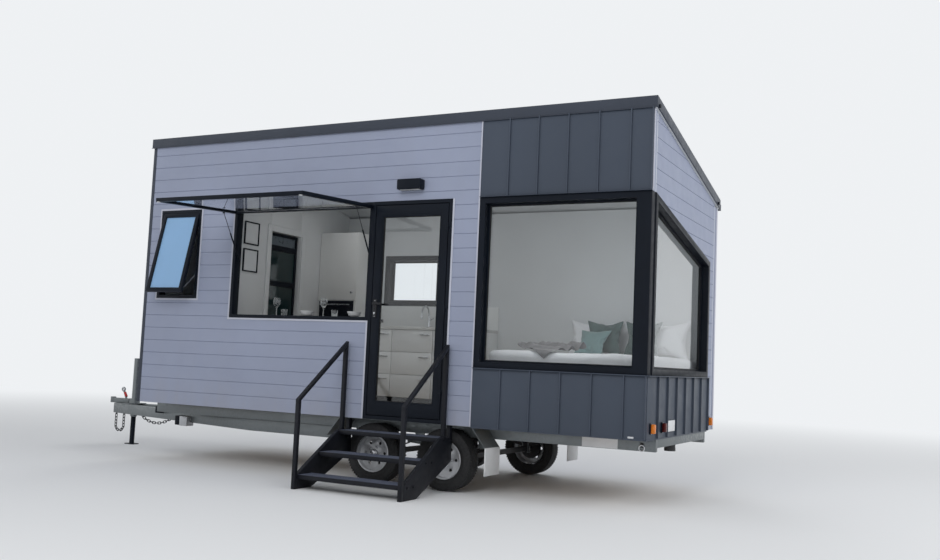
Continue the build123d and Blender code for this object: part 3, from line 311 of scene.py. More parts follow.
@dataclass(frozen=True)
class Galvanised(Finish):
    """Hot-dip galvanised steel, with its spangle and dull weathered patches.

    Attributes:
        spangle: Flakes of zinc to a metre.
    """

    spangle: float = 42.0

    def pattern(self, graph: Graph) -> None:
        """Adds the spangle to the colour and the roughness.

        Args:
            graph: The material's node tree.
        """
        cells = graph.cells(self.spangle)
        flakes = graph.between(cells, *self.shades(0.24, 0.12))
        graph.cover(flakes, graph.spread(graph.noise(1.7, 5.0), 0.25, 0.8))
        graph.set(Roughness=graph.spread(cells, self.roughness * 0.75, self.roughness * 1.3))


@dataclass(frozen=True)
class Timber(Finish):
    """Timber or timber-look boards with a drawn-out grain.

    Attributes:
        rings: Grain lines to a metre.
        strength: How much of the grain's colour shows.
    """

    rings: float = 26.0
    strength: float = 0.6

    def pattern(self, graph: Graph) -> None:
        """Adds the grain's darker lines.

        Args:
            graph: The material's node tree.
        """
        lines = graph.noise(self.rings, 8.0, self.way)
        graph.cover(graph.between(lines, *self.shades(0.32, 0.1)), self.strength)
        graph.relief(lines, 0.0004, self.strength)


@dataclass(frozen=True)
class Cloth(Finish):
    """Woven cloth: two crossed sets of threads, soft creases and a sheen.

    Attributes:
        threads: Threads to a metre, each way.
        sheen: How much its fluff lights up at a slant.
    """

    threads: float = 700.0
    sheen: float = 0.35

    def pattern(self, graph: Graph) -> None:
        """Adds the weave and the creases.

        Args:
            graph: The material's node tree.
        """
        for direction in ("X", "Y"):
            inputs = {"Vector": graph.place, "Scale": self.threads / 20, "Distortion": 1.5}
            weave = graph.add("ShaderNodeTexWave", inputs, bands_direction=direction)
            graph.relief(weave.outputs["Fac"], 0.0003, 0.35)
        graph.relief(graph.noise(7.0, 4.0), 0.006, 0.5)
        graph.set(Sheen_Weight=self.sheen, Sheen_Roughness=0.5)


@dataclass(frozen=True)
class Glass(Finish):
    """Clear, tinted or frosted glass, and coloured lenses.

    Attributes:
        passes: How much light goes through, from 0 to 1.
        ior: How strongly it bends light.
    """

    passes: float = 1.0
    ior: float = 1.45

    def pattern(self, graph: Graph) -> None:
        """Sets how much light passes through."""
        graph.set(Transmission_Weight=self.passes, IOR=self.ior)


# Boards: their pale grey paint with painted shade, made darker and bluer as under a blue sky.
BOARD_AND_SHADE = Boarded("board_paint_and_shade", (0.285, 0.318, 0.425), 0.55, shade=0.04, patch=1.3, grain=220.0, depth=0.0003)
PALE_TRIM = Finish("pale_trim_paint", (0.47, 0.485, 0.56), 0.5, shade=0.04)
TRIM = Finish("trim_coat", (0.042, 0.050, 0.068), 0.45, shade=0.06, gloss=0.3)
# Cladding pans: their grey coat with a painted sky reflection that gives them a blue cast.
PAN_AND_SKY_REFLECTION = Finish("pan_coat_and_sky_reflection", (0.050, 0.063, 0.088), 0.45, shade=0.07, patch=1.2, way=Way.UPRIGHT, gloss=0.35)
ROOFING = Finish("roof_coat", (0.048, 0.058, 0.080), 0.45, shade=0.06, patch=1.0, way=Way.ALONG_Y)
JOINERY = Finish(
    "joinery_powder", (0.005, 0.0075, 0.013), 0.42, shade=0.15, grain=900.0, depth=0.00008, gloss=0.14
)
# Tread tops: partly their own dark coat, partly painted sky light that makes them lighter and bluer than the
# black steps.
TREAD_AND_SKY_LIGHT = Finish("tread_coat_and_sky_light", (0.085, 0.097, 0.135), 0.55, shade=0.15, patch=5.0, grain=300.0, gloss=0.3)
STEP_COAT = Finish(
    "step_powder", (0.008, 0.009, 0.013), 0.48, shade=0.25, grain=700.0, depth=0.0001, gloss=0.25
)
LINING = Finish("lining_paint", (0.66, 0.68, 0.69), 0.6, shade=0.02, grain=160.0, depth=0.00004)
CEILING = Finish("ceiling_paint", (0.60, 0.62, 0.63), 0.65, shade=0.02)
UNIT = Finish("unit_lacquer", (0.76, 0.77, 0.76), 0.35, shade=0.02)
INNER_DARK = Finish("inner_door_paint", (0.02, 0.022, 0.026), 0.4)
FLOORING = Timber("floor_planks", (0.42, 0.30, 0.19), 0.45, patch=1.5, way=Way.ALONG_X)
BED_TIMBER = Timber("bed_oak", (0.35, 0.21, 0.12), 0.5, patch=2.0, way=Way.ALONG_Y)
LINEN = Cloth("white_linen", (0.86, 0.87, 0.89), 0.85, shade=0.02)
# Galvanised steel: its own grey made darker by painted shade, for the chassis in shadow under the house.
GALV_AND_SHADE = Galvanised("galvanised_steel_and_shade", (0.20, 0.218, 0.225), 0.46, 0.7, shade=0.1, patch=3.0)
CHAIN = Galvanised("dull_chain", (0.10, 0.104, 0.11), 0.42, 0.8, shade=0.15, spangle=120.0)
AXLE = Finish("axle_paint", (0.02, 0.02, 0.022), 0.5, shade=0.3, patch=8.0)
FLAP = Finish("flap_white", (0.72, 0.73, 0.74), 0.5, shade=0.05, patch=6.0)
RUBBER = Finish("tyre_rubber", (0.018, 0.018, 0.019), 0.75, shade=0.25, patch=9.0, grain=300.0)
RIM = Finish("rim_paint", (0.52, 0.53, 0.55), 0.35, 0.6, shade=0.08, patch=7.0)
STEEL = Finish("bright_steel", (0.6, 0.61, 0.63), 0.28, 1.0, shade=0.06, patch=12.0)
STEEL_DARK = Finish("dark_steel", (0.03, 0.031, 0.034), 0.3, 0.8, shade=0.1, patch=20.0)
WORKTOP = Finish("worktop_stone", (0.62, 0.62, 0.60), 0.3, shade=0.06, patch=14.0)
LENS = Glass("light_lens", (0.9, 0.9, 0.88), 0.5, shade=0.02, passes=0.3)
DARK_GLASS = Glass("dark_glass", (0.012, 0.028, 0.03), 0.08, shade=0.05, passes=0.02, depth=0.0)
DARK_CLOTH = Cloth("dark_green_cloth", (0.07, 0.115, 0.11), 0.85, shade=0.2, patch=9.0)
MINT_CLOTH = Cloth("pale_green_cloth", (0.20, 0.31, 0.31), 0.85, shade=0.1, patch=9.0)
THROW_CLOTH = Cloth("throw_cloth", (0.20, 0.195, 0.20), 0.9, shade=0.22, patch=14.0, threads=260.0)
RED = Glass("red_lens", (0.09, 0.006, 0.005), 0.2, shade=0.05, passes=0.1)
GRIP = Finish("red_grip", (0.42, 0.02, 0.018), 0.4, shade=0.08)
CLEAR = Glass("window_glass", (0.95, 0.97, 0.98), 0.01, shade=0.005, depth=0.0)
FROSTED = Glass("frosted_glass", (0.30, 0.52, 0.80), 0.4, shade=0.04, passes=0.2)
OPAL = Glass("opal_glass", (0.10, 0.125, 0.15), 0.3, shade=0.04, passes=0.1)
AMBER = Glass("amber_lens", (0.95, 0.28, 0.03), 0.18, shade=0.05, passes=0.35)


def upright(x0: float, x1: float, z0: float, z1: float, y: float) -> list[Vector]:
    """Corners of an upright rectangle that faces the near side."""
    return [Vector((x0, y, z0)), Vector((x1, y, z0)), Vector((x1, y, z1)), Vector((x0, y, z1))]


def sideways(y0: float, y1: float, z0: float, z1: float, x: float) -> list[Vector]:
    """Corners of an upright rectangle that faces along the house."""
    return [Vector((x, y0, z0)), Vector((x, y1, z0)), Vector((x, y1, z1)), Vector((x, y0, z1))]


def oblong(u0: float, u1: float, z0: float, z1: float) -> Outline:
    """A straight region of wall, from one distance and height to another."""
    return [(u0, z0), (u1, z0), (u1, z1), (u0, z1)]


def round_off(piece: Object) -> None:
    """Rounds a piece by one subdivision."""
    fine = piece.modifiers.new("rounding", "SUBSURF")
    fine.levels = fine.render_levels = 1


class Form:
    """A mesh being made with bmesh operators, until it is finished as a dressed piece."""

    def __init__(self) -> None:
        """Starts an empty mesh."""
        self.bm: BMesh = bmesh.new()

    def face(self, corners: list[Vector]) -> BMFace:
        """Adds one flat face with its corners in order."""
        return self.bm.faces.new([self.bm.verts.new(corner) for corner in corners])

    def block(self, low: Point, high: Point, edge: float = 0.0) -> None:
        """Adds a straight block between two corners.

        Args:
            low: Its lowest corner.
            high: Its highest corner.
            edge: The width of its eased edges, 0 for sharp ones.
        """
        low, high = Vector(low), Vector(high)
        place = Matrix.Translation((low + high) / 2) @ Matrix.Diagonal((*(high - low), 1.0))
        verts = bmesh.ops.create_cube(self.bm, size=1.0, matrix=place)["verts"]
        if edge > 0.0:
            self.ease({line for vert in verts for line in vert.link_edges}, edge)

    def ease(self, lines: set[BMEdge], width: float, segments: int = 2) -> None:
        """Rounds off edges.

        Args:
            lines: The edges to round.
            width: How wide the rounding is.
            segments: How many facets it has.
        """
        bmesh.ops.bevel(
            self.bm, geom=list(lines), offset=width, offset_type="OFFSET", segments=segments,
            profile=0.5, affect="EDGES", clamp_overlap=True, material=-1,
        )

    def sharp(self) -> set[BMEdge]:
        """The edges at which the surface turns sharply."""
        return {line for line in self.bm.edges if line.calc_face_angle(0.0) > SHARP}

    def cut(self, place: Vector, across: Vector) -> None:
        """Divides the faces along the plane through a place that looks across."""
        everything = self.bm.verts[:] + self.bm.edges[:] + self.bm.faces[:]
        bmesh.ops.bisect_plane(self.bm, geom=everything, plane_co=place, plane_no=across)

    def rod(self, start: Point, end: Point, radius: float, sides: int = 20) -> None:
        """Adds a round rod between two points.

        Args:
            start: The middle of one end.
            end: The middle of the other end.
            radius: Its radius.
            sides: How many sides it has.
        """
        start, end = Vector(start), Vector(end)
        turn = (end - start).to_track_quat("Z", "Y").to_matrix().to_4x4()
        bmesh.ops.create_cone(
            self.bm, cap_ends=True, segments=sides, radius1=radius, radius2=radius,
            depth=(end - start).length, matrix=Matrix.Translation((start + end) / 2) @ turn,
        )

    def join(self, part: "Form") -> None:
        """Adds another mesh, and frees it.

        Args:
            part: The mesh.
        """
        mesh = bpy.data.meshes.new("part")
        part.bm.to_mesh(mesh)
        part.bm.free()
        self.bm.from_mesh(mesh)
        bpy.data.meshes.remove(mesh)

    def draw_out(self, faces: list[BMFace], thick: Vector) -> None:
        """Gives flat faces a thickness, with all faces looking outwards.

        Args:
            faces: The flat faces.
            thick: How far and which way they are drawn out.
        """
        made = bmesh.ops.extrude_face_region(self.bm, geom=faces)
        moved = [item for item in made["geom"] if isinstance(item, BMVert)]
        bmesh.ops.translate(self.bm, verts=moved, vec=thick)
        bmesh.ops.recalc_face_normals(self.bm, faces=self.bm.faces)

    def slab(self, corners: list[Vector], thick: Vector) -> None:
        """Adds a flat outline drawn out to a thickness.

        Args:
            corners: The outline's corners in order.
            thick: How far and which way it is drawn out.
        """
        part = Form()
        part.draw_out([part.face(corners)], thick)
        self.join(part)

    def ring(self, corners: list[Vector], width: float, thick: Vector, edge: float = 0.0) -> None:
        """Adds a mitred frame of even bars inside a flat outline.

        Args:
            corners: The outline's corners in order.
            width: The bars' width.
            thick: How far and which way it is drawn out.
            edge: The width of its eased edges.
        """
        part = Form()
        face = part.face(corners)
        part.bm.normal_update()
        rim = bmesh.ops.inset_region(
            part.bm, faces=[face], thickness=width, use_boundary=True, use_even_offset=True
        )["faces"]
        bmesh.ops.delete(part.bm, geom=[face], context="FACES_ONLY")
        part.draw_out(rim, thick)
        if edge > 0.0:
            part.ease(part.sharp(), edge, 1)
        self.join(part)

    def turned(self, profile: Profile, middle: Point, axis: Vector = UP, steps: int = 48) -> None:
        """Adds a shape turned about an axis.

        Args:
            profile: Its outline, as distances along the axis and radii.
            middle: The axis's zero point.
            axis: The axis's direction.
            steps: How many sides it has.
        """
        part = Form()
        bm = part.bm
        middle, axis = Vector(middle), Vector(axis).normalized()
        side = axis.orthogonal().normalized()
        verts = [bm.verts.new(middle + axis * along + side * radius) for along, radius in profile]
        lines = [bm.edges.new(pair) for pair in zip(verts, verts[1:])]
        bmesh.ops.spin(
            bm, geom=verts + lines, cent=middle, axis=axis, angle=2 * pi, steps=steps, use_merge=True
        )
        bmesh.ops.remove_doubles(bm, verts=bm.verts, dist=1e-6)
        bmesh.ops.recalc_face_normals(bm, faces=bm.faces)
        self.join(part)

    def hoop(self, middle: Vector, axis: Vector, radius: float, wire: float) -> None:
        """Adds a round ring of wire.

        Args:
            middle: Its middle.
            axis: The direction its face looks.
            radius: From its middle to the wire's middle.
            wire: The wire's radius.
        """
        turns = [2 * pi * step / 10 for step in range(11)]
        section = [(wire * sin(turn), radius + wire * cos(turn)) for turn in turns]
        self.turned(section, middle, axis, 32)

    def stud(self, place: Point, out: Vector, size: float = 0.012) -> None:
        """Adds a hexagon head on a washer.

        Args:
            place: The point on the surface under it.
            out: The direction it stands out in.
            size: Its width across.
        """
        place, out = Vector(place), Vector(out).normalized()
        self.rod(place, place + out * size * 0.16, size * 0.9, 12)
        self.rod(place + out * size * 0.12, place + out * size * 0.62, size * 0.55, 6)

    def finish(
        self, name: str, finish: Finish, slot: str, body: str = HOUSE, replaces: tuple[str, ...] = ()
    ) -> Object:
        """Turns the mesh into a dressed piece that rides on a body.

        Args:
            name: The piece's name.
            finish: What it is coated with.
            slot: The record's material slot; not used.
            body: The body it rides on.
            replaces: The solid nodes it stands for.

        Returns:
            The piece.
        """
        mesh = bpy.data.meshes.new(name)
        self.bm.to_mesh(mesh)
        self.bm.free()
        for layer in ("custom_normal", "sharp_face"):
            if layer in mesh.attributes:
                mesh.attributes.remove(mesh.attributes[layer])
        mesh.shade_smooth()
        mesh.set_sharp_from_angle(angle=SHARP)
        mesh.materials.clear()
        mesh.materials.append(finish.material())
        piece = bpy.data.objects.new(name, mesh)
        bpy.context.scene.collection.objects.link(piece)
        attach(piece, body)
        if replaces:
            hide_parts(*replaces)
        LOG.info("%s rides on %s with %d faces", name, body, len(mesh.polygons))
        return piece


class Bench:
    """Gives copies of the solid model's nodes, and dresses them."""

    def __init__(self, nodes: dict[str, Object]) -> None:
        """Keeps the solid model's objects at hand by node name."""
        self.nodes = nodes

    def merged(self, node: str) -> Form:
        """A copy of a solid node's mesh, with its loose triangles joined at their corners.

        Args:
            node: The node's name.

        Returns:
            The copy.
        """
        form = Form()
        form.bm.from_mesh(self.nodes[node].data)
        bmesh.ops.remove_doubles(form.bm, verts=form.bm.verts, dist=1e-5)
        return form

    def copy(self, node: str) -> Form:
        """A merged copy of a solid node's mesh, with its flat faces whole.

        Args:
            node: The node's name.

        Returns:
            The copy.
        """
        form = self.merged(node)
        bm = form.bm
        bmesh.ops.dissolve_limit(bm, angle_limit=radians(0.4), verts=bm.verts, edges=bm.edges)
        return form

    def islands(self, node: str) -> list[Box]:
        """Lowest and highest corners of each separate solid of a node, from low y to high y.

        Args:
            node: The node's name.

        Returns:
            The corner pairs.
        """
        bm = self.copy(node).bm
        left, boxes = set(bm.verts), []
        while left:
            found, edge = set(), [left.pop()]
            while edge:
                vert = edge.pop()
                found.add(vert)
                for line in vert.link_edges:
                    other = line.other_vert(vert)
                    if other in left:
                        left.remove(other)
                        edge.append(other)
            low, high = (
                Vector([pick(vert.co[axis] for vert in found) for axis in range(3)]) for pick in (min, max)
            )
            boxes.append((low, high))
        bm.free()
        return sorted(boxes, key=lambda box: (round(box[0].y, 3), round(box[0].x, 3), box[0].z))

    def refit(self, node: str, finish: Finish, slot: str, edge: float, body: str = HOUSE) -> None:
        """Stands a copy with eased edges in for a solid node.

        Args:
            node: The node's name.
            finish: What it is coated with.
            slot: Its material slot.
            edge: The width of its eased edges.
            body: The body it rides on.
        """
        form = self.copy(node)
        form.ease(form.sharp(), edge)
        form.finish(f"{node}_dressed", finish, slot, body, (node,))

    def coat(self, node: str, finish: Finish) -> None:
        """Gives a solid node that stays its finish.

        Args:
            node: The node's name.
            finish: What it is coated with.
        """
        for place in self.nodes[node].material_slots:
            place.link = "OBJECT"
            place.material = finish.material()


@dataclass
class Beading:
    """Beads and gaskets round panes, on both their faces.

    Attributes:
        bead: The beads' width.
        depth: Their depth.
        gasket: The gaskets' width, which is also their depth.
        space: The gap between a pane and its beads.
        beads: The mesh of beads.
        seals: The mesh of gaskets.
    """

    bead: float
    depth: float
    gasket: float = 0.005
    space: float = 0.0003
    beads: Form = field(default_factory=Form)
    seals: Form = field(default_factory=Form)

    def pane(self, corners: list[Vector], out: Vector, thick: float) -> None:
        """Beads one pane.

        Args:
            corners: The pane's corners on its middle plane.
            out: The direction it looks.
            thick: Its thickness.
        """
        for way in (out, -out):
            face = [corner + way * (thick / 2 + self.space) for corner in corners]
            self.beads.ring(face, self.bead, way * self.depth, 0.0015)
            self.seals.ring(face, self.bead + self.gasket, way * self.gasket)

    def finish(self, name: str, body: str = HOUSE) -> None:
        """Makes the two pieces, with names that start alike."""
        self.beads.finish(f"{name}_beads", JOINERY, "joinery_black", body)
        self.seals.finish(f"{name}_gaskets", RUBBER, "joinery_black", body)


@dataclass
class Datum:
    """The house's main lines, read from the solid model.

    Attributes:
        left: The left end wall's outer face.
        right: The glazed end wall's outer face.
        front: The near wall's outer face.
        rear: The rear wall's outer face.
        foot: The walls' foot.
        eaves: The roof deck's underside over the near wall.
        pitch: The roof's pitch.
        rake: The raked window's fall to each metre of depth.
        wall: The walls' thickness.
    """

    left: float = field(init=False)
    right: float = field(init=False)
    front: float = field(init=False)
    rear: float = field(init=False)
    foot: float = field(init=False)
    eaves: float = field(init=False)
    pitch: float = radians(12.2)
    rake: float = 0.424 / 2.14
    wall: float = 0.11

    def __post_init__(self) -> None:
        """Reads the lines from the walls' boxes."""
        rear_low, rear_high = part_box("rear_wall")
        pier_low, pier_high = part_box("front_wall_piers")
        self.left, self.right, self.rear = rear_low.x, rear_high.x, rear_high.y
        self.front, self.foot, self.eaves = pier_low.y, pier_low.z, pier_high.z

    @property
    def slope(self) -> float:
        """The roof's fall to each metre of depth."""
        return tan(self.pitch)

    def under(self, y: float) -> float:
        """Height of the roof deck's underside over the line y."""
        return self.eaves - (y - self.front) * self.slope

    def raked_head(self, y: float) -> float:
        """Height of the raked window's head over the line y."""
        low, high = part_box("corner_frame_end")
        return high.z - (y - low.y) * self.rake


@dataclass
class Assembly:
    """A part of the house that makes its own pieces.

    Attributes:
        bench: Where meshes are made.
        lines: The house's main lines.
    """

    bench: Bench
    lines: Datum

    def build(self) -> None:
        """Makes the pieces."""


@dataclass
class Face:
    """One outer face of the house: a place to draw wall regions on.

    Attributes:
        origin: A point at the face's foot.
        along: The direction in which its widths run.
        out: The direction it looks.
    """

    origin: Vector
    along: Vector
    out: Vector

    def point(self, u: float, z: float) -> Vector:
        """The point at a distance along the face and a height."""
        return self.origin + self.along * u + UP * z


@dataclass
class Walls(Assembly):
    """Boarded walls: outer boards with V joints and a smooth lining inside.

    Attributes:
        cover: How much of each board shows.
        joint: Half the width of the V joint between boards.
        notch: How deep the V joint is.
        margin: How far a joint stays from a region's edges.
        lining: The lining's thickness.
    """

    cover: float = 0.1418
    joint: float = 0.004
    notch: float = 0.006
    margin: float = 0.002
    lining: float = 0.012

    @property
    def core(self) -> float:
        """The thickness of boards and framing, without the lining."""
        return self.lines.wall - self.lining

    def under(self, y: float) -> float:
        """Height of the deck's underside over the walls' foot."""
        return self.lines.under(y) - self.lines.foot

    def beneath_roof(self, y0: float, y1: float, z0: float, z1: float) -> Outline:
        """A region between two lines, from a height at each up to the roof."""
        return [(y0, z0), (y1, z1), (y1, self.under(y1)), (y0, self.under(y0))]

    def sheet(self, boards: Form, face: Face, outline: Outline) -> None:
        """Adds a boarded region of wall.

        Args:
            boards: The boards being made.
            face: The face of the house that it lies on.
            outline: Its corners, as distances along the face and heights over the foot.
        """
        patch = Form()
        patch.face([face.point(u, z) for u, z in outline])
        low, high = min(z for _, z in outline), max(z for _, z in outline)
        grooves = [index * self.cover for index in range(1, int(high / self.cover) + 1)]
        for line in grooves:
            for height in (line - self.joint, line, line + self.joint):
                if low + self.margin < height < high - self.margin:
                    patch.cut(UP * (face.origin.z + height), UP)
        fronts = patch.bm.verts[:]
        patch.draw_out(patch.bm.faces[:], -face.out * self.core)
        for vert in fronts:
            height = vert.co.z - face.origin.z
            if any(abs(height - line) < 1e-4 for line in grooves):
                vert.co -= face.out * self.notch
        boards.join(patch)

    def panel(
        self, name: str, face: Face, outlines: list[Outline], node: str, ceiling: float = inf
    ) -> None:
        """Makes a wall's boards and the lining behind them.

        Args:
            name: What the two pieces' names start with.
            face: The wall's outer face.
            outlines: The corners of its regions.
            node: The solid node that the boards stand for.
            ceiling: The height over the foot at which the lining ends.
        """
        boards, inside = Form(), Form()
        for outline in outlines:
            self.sheet(boards, face, outline)
            behind = [face.point(u, min(z, ceiling)) - face.out * self.core for u, z in outline]
            inside.slab(behind, -face.out * self.lining)
        boards.finish(f"{name}_boards", BOARD_AND_SHADE, "boarding", replaces=(node,))
        inside.finish(f"{name}_lining", LINING, "lining_white")

    def build(self) -> None:
        """Makes the four walls."""
        self.near_wall()
        self.end_walls()
        self.rear_wall()

    def near_wall(self) -> None:
        """Makes the near wall's piers, the parts under its openings and the parts over them."""
        lines, foot = self.lines, self.lines.foot
        face = Face(Vector((0.0, lines.front, foot)), ALONG, -REAR)
        bath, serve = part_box("bathroom_frame"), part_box("servery_frame")
        door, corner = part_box("door_frame"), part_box("corner_frame_near")
        head, top = door[1].z - foot, lines.eaves - foot
        for name, regions in (
            ("front_wall_piers", (
                (lines.left, bath[0].x, 0.0, top),
                (bath[1].x, serve[0].x, 0.0, top),
                (door[1].x, corner[0].x, 0.0, top),
            )),
            ("front_wall_lower", (
                (bath[0].x, bath[1].x, 0.0, bath[0].z - foot),
                (serve[0].x, door[0].x, 0.0, serve[0].z - foot),
                (corner[0].x, lines.right, 0.0, corner[0].z - foot),
            )),
            ("front_wall_upper", (
                (bath[0].x, bath[1].x, head, top),
                (serve[0].x, door[1].x, head, top),
                (corner[0].x, lines.right, head, top),
            )),
        ):
            outlines = [oblong(*region) for region in regions]
            self.panel(name, face, outlines, name, self.under(lines.front + lines.wall))

    def end_walls(self) -> None:
        """Makes the plain left end wall, and the glazed end wall round its raked window."""
        lines = self.lines
        left = Face(Vector((lines.left, 0.0, lines.foot)), REAR, -ALONG)
        right = Face(Vector((lines.right, 0.0, lines.foot)), REAR, ALONG)
        y0, y1 = lines.front + lines.wall, lines.rear - lines.wall
        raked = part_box("corner_frame_end")
        jamb = raked[1].y
        heads = [lines.raked_head(y) - lines.foot for y in (y0, jamb)]
        self.panel("left_end", left, [self.beneath_roof(y0, y1, 0.0, 0.0)], "left_end_wall")
        outlines = [
            oblong(y0, jamb, 0.0, raked[0].z - lines.foot),
            self.beneath_roof(jamb, y1, 0.0, 0.0),
            self.beneath_roof(y0, jamb, *heads),
        ]
        self.panel("glazed_end", right, outlines, "end_wall")

    def rear_wall(self) -> None:
        """Makes the rear wall round its kitchen window."""
        lines = self.lines
        face = Face(Vector((0.0, lines.rear, lines.foot)), ALONG, REAR)
        low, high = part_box("kitchen_frame")
        sill, head, top = low.z - lines.foot, high.z - lines.foot, self.under(lines.rear)
        outlines = [
            oblong(lines.left, low.x, 0.0, top), oblong(high.x, lines.right, 0.0, top),
            oblong(low.x, high.x, 0.0, sill), oblong(low.x, high.x, head, top),
        ]
        self.panel("rear_wall", face, outlines, "rear_wall")


@dataclass
class Roof(Assembly):
    """The sheeted roof: deck, ribbed sheet with its screws, folded barges and the gutter.

    Attributes:
        rib_pitch: From one rib to the next.
        plain_edges: What the ribs leave plain at the sheet's two ends together.
        screw_rows: Rows of screws down the slope.
        screw_inset: From the sheet's edges to the first and the last row.
        lip: The near fascia's drip lip, as distances out of the wall's face and down from the eaves.
        straps: Straps over the gutter.
        strap_inset: From the gutter's ends to the first and the last strap.
    """

    rib_pitch: float = 0.2
    plain_edges: float = 0.068
    screw_rows: int = 4
    screw_inset: float = 0.12
    lip: Profile = ((0.012, 0.0), (0.020, 0.010), (0.018, 0.011), (0.010, 0.001))
    straps: int = 7
    strap_inset: float = 0.25

    def build(self) -> None:
        """Makes the roof's pieces."""
        bench, lines = self.bench, self.lines
        bench.refit("roof_fascia", TRIM, "roof_grey", 0.003)
        bench.refit("rear_gutter", TRIM, "roof_grey", 0.001)
        bench.coat("roof_sheet", ROOFING)
        bench.coat("roof_deck", CEILING)
        self.screws()
        self.drip_lip()
        self.gutter_fittings()
        caps = Form()
        low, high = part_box("roof_fascia")
        for y in (low.y + 0.05, high.y - 0.12):
            z = lines.under(y) + 0.018
            caps.rod((high.x, y, z), (high.x + 0.016, y, z), 0.017, 16)
        caps.finish("barge_caps", JOINERY, "light_black")

    def screws(self) -> None:
        """Puts a screw on each rib at every row."""
        low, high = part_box("roof_sheet")
        count = int((high.x - low.x - self.plain_edges) // self.rib_pitch)
        middle = (low.x + high.x) / 2
        up = Vector((0.0, self.lines.slope, 1.0))
        step = (high.y - low.y - 2 * self.screw_inset) / (self.screw_rows - 1)
        heads = Form()
        for row in range(self.screw_rows):
            y = low.y + self.screw_inset + row * step
            z = high.z - (y - low.y) * self.lines.slope - 0.0012
            for rib in range(count):
                x = middle + (rib - (count - 1) / 2) * self.rib_pitch
                heads.stud((x, y, z), up)
        heads.finish("roof_screws", TRIM, "roof_grey")

    def drip_lip(self) -> None:
        """Folds a small drip lip out along the foot of the near fascia."""
        low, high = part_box("roof_fascia")
        lip = Form()
        corners = [
            Vector((low.x, self.lines.front - out, self.lines.eaves - down)) for out, down in self.lip
        ]
        lip.slab(corners, ALONG * (high.x - low.x))
        lip.finish("fascia_drip_lip", TRIM, "roof_grey")

    def gutter_fittings(self) -> None:
        """Closes the gutter's ends and straps it at even spaces."""
        low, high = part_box("rear_gutter")
        parts = Form()
        for x in (low.x + 0.001, high.x - 0.003):
            parts.block((x, low.y + 0.003, low.z + 0.003), (x + 0.002, high.y - 0.003, high.z - 0.004))
        step = (high.x - low.x - 2 * self.strap_inset) / (self.straps - 1)
        for index in range(self.straps):
            x = low.x + self.strap_inset + index * step
            foot, top = (x, low.y + 0.001, high.z - 0.006), (x + 0.02, high.y - 0.001, high.z - 0.003)
            parts.block(foot, top, 0.0005)
        parts.finish("gutter_fittings", TRIM, "roof_grey")


@dataclass
class Cladding(Assembly):
    """Seamed metal cladding at the glazed corner, with its flashings and the pale trims.

    Attributes:
        lip: The width of the pale trims.
        proud: How far the pale trims stand out.
        lap: How far the rear corner's trims reach round it.
        seam_shift: How far the near seams stand along from the solid's.
    """

    lip: float = 0.02
    proud: float = 0.007
    lap: float = 0.042
    seam_shift: float = 0.1

    def build(self) -> None:
        """Makes the cladding's and the trims' pieces."""
        self.near_pans()
        self.bench.refit("end_cladding", PAN_AND_SKY_REFLECTION, "cladding_grey", 0.002)
        self.bench.refit("corner_trims", TRIM, "roof_grey", 0.0008)
        self.flashings()
        self.pale_trims()

    def near_pans(self) -> None:
        """Makes the near wall's pans, with full ones from the left as in the photograph."""
        pans = self.bench.copy("corner_cladding")
        low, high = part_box("corner_cladding")
        for vert in pans.bm.verts:
            if low.x + 0.05 < vert.co.x < high.x - 0.05:
                vert.co.x += self.seam_shift
        pans.ease(pans.sharp(), 0.002)
        pans.finish("corner_cladding_dressed", PAN_AND_SKY_REFLECTION, "cladding_grey", replaces=("corner_cladding",))

    def flashings(self) -> None:
        """Folds flashings over and under the glazed corner's cladding."""
        lines = self.lines
        near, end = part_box("corner_cladding"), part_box("end_cladding")
        head, sill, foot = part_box("corner_frame_near")[1].z, end[1].z, lines.foot
        face, right = lines.front, lines.right
        parts = Form()
        for z0, z1, deep in ((sill - 0.004, sill + 0.004, 0.032), (foot - 0.012, foot, 0.008)):
            parts.block((near[0].x, face - deep, z0), (right + deep, face, z1), 0.001)
            parts.block((right, face, z0), (right + deep, end[1].y, z1), 0.001)
        parts.block((near[0].x, face - 0.03, head), (right, face, head + 0.004), 0.001)
        parts.finish("cladding_flashings", PAN_AND_SKY_REFLECTION, "cladding_grey")

    def pale_trims(self) -> None:
        """Lays the pale trims round the openings and down the corners."""
        lines, lip, proud = self.lines, self.lip, self.proud
        foot, face, rear, right = lines.foot, lines.front, lines.rear, lines.right
        corner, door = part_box("corner_frame_near"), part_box("door_frame")
        bath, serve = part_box("bathroom_frame"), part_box("servery_frame")
        out, edge, sill = face - proud, face + 0.03, serve[0].z
        seam, jamb, x0, x1 = corner[0].x, door[1].x, serve[0].x - lip, door[0].x
        trims = Form()
        around = upright(bath[0].x - lip, bath[1].x + lip, bath[0].z - lip, bath[1].z + lip, face)
        trims.ring(around, lip, -REAR * proud, 0.0015)
        for low, high in (
            ((seam - lip * 0.7, out - 0.004, foot), (seam, face, lines.eaves - 0.001)),
            ((jamb, out, foot), (jamb + lip, face, door[1].z)),
            ((right, face, corner[1].z), (right + proud, edge, lines.under(edge))),
            ((right, rear - self.lap, foot), (right + proud, rear + proud, lines.under(rear) - 0.002)),
            ((right - self.lap, rear, foot), (right, rear + proud, lines.under(rear) - 0.01)),
            ((x0, out, sill - lip), (x1, face, sill)),
            ((x0, out, sill), (serve[0].x, face, serve[1].z)),
            ((x1 - lip, out, foot), (x1, face, sill - lip)),
        ):
            trims.block(low, high, 0.0015)
        trims.finish("pale_trims", PALE_TRIM, "boarding")


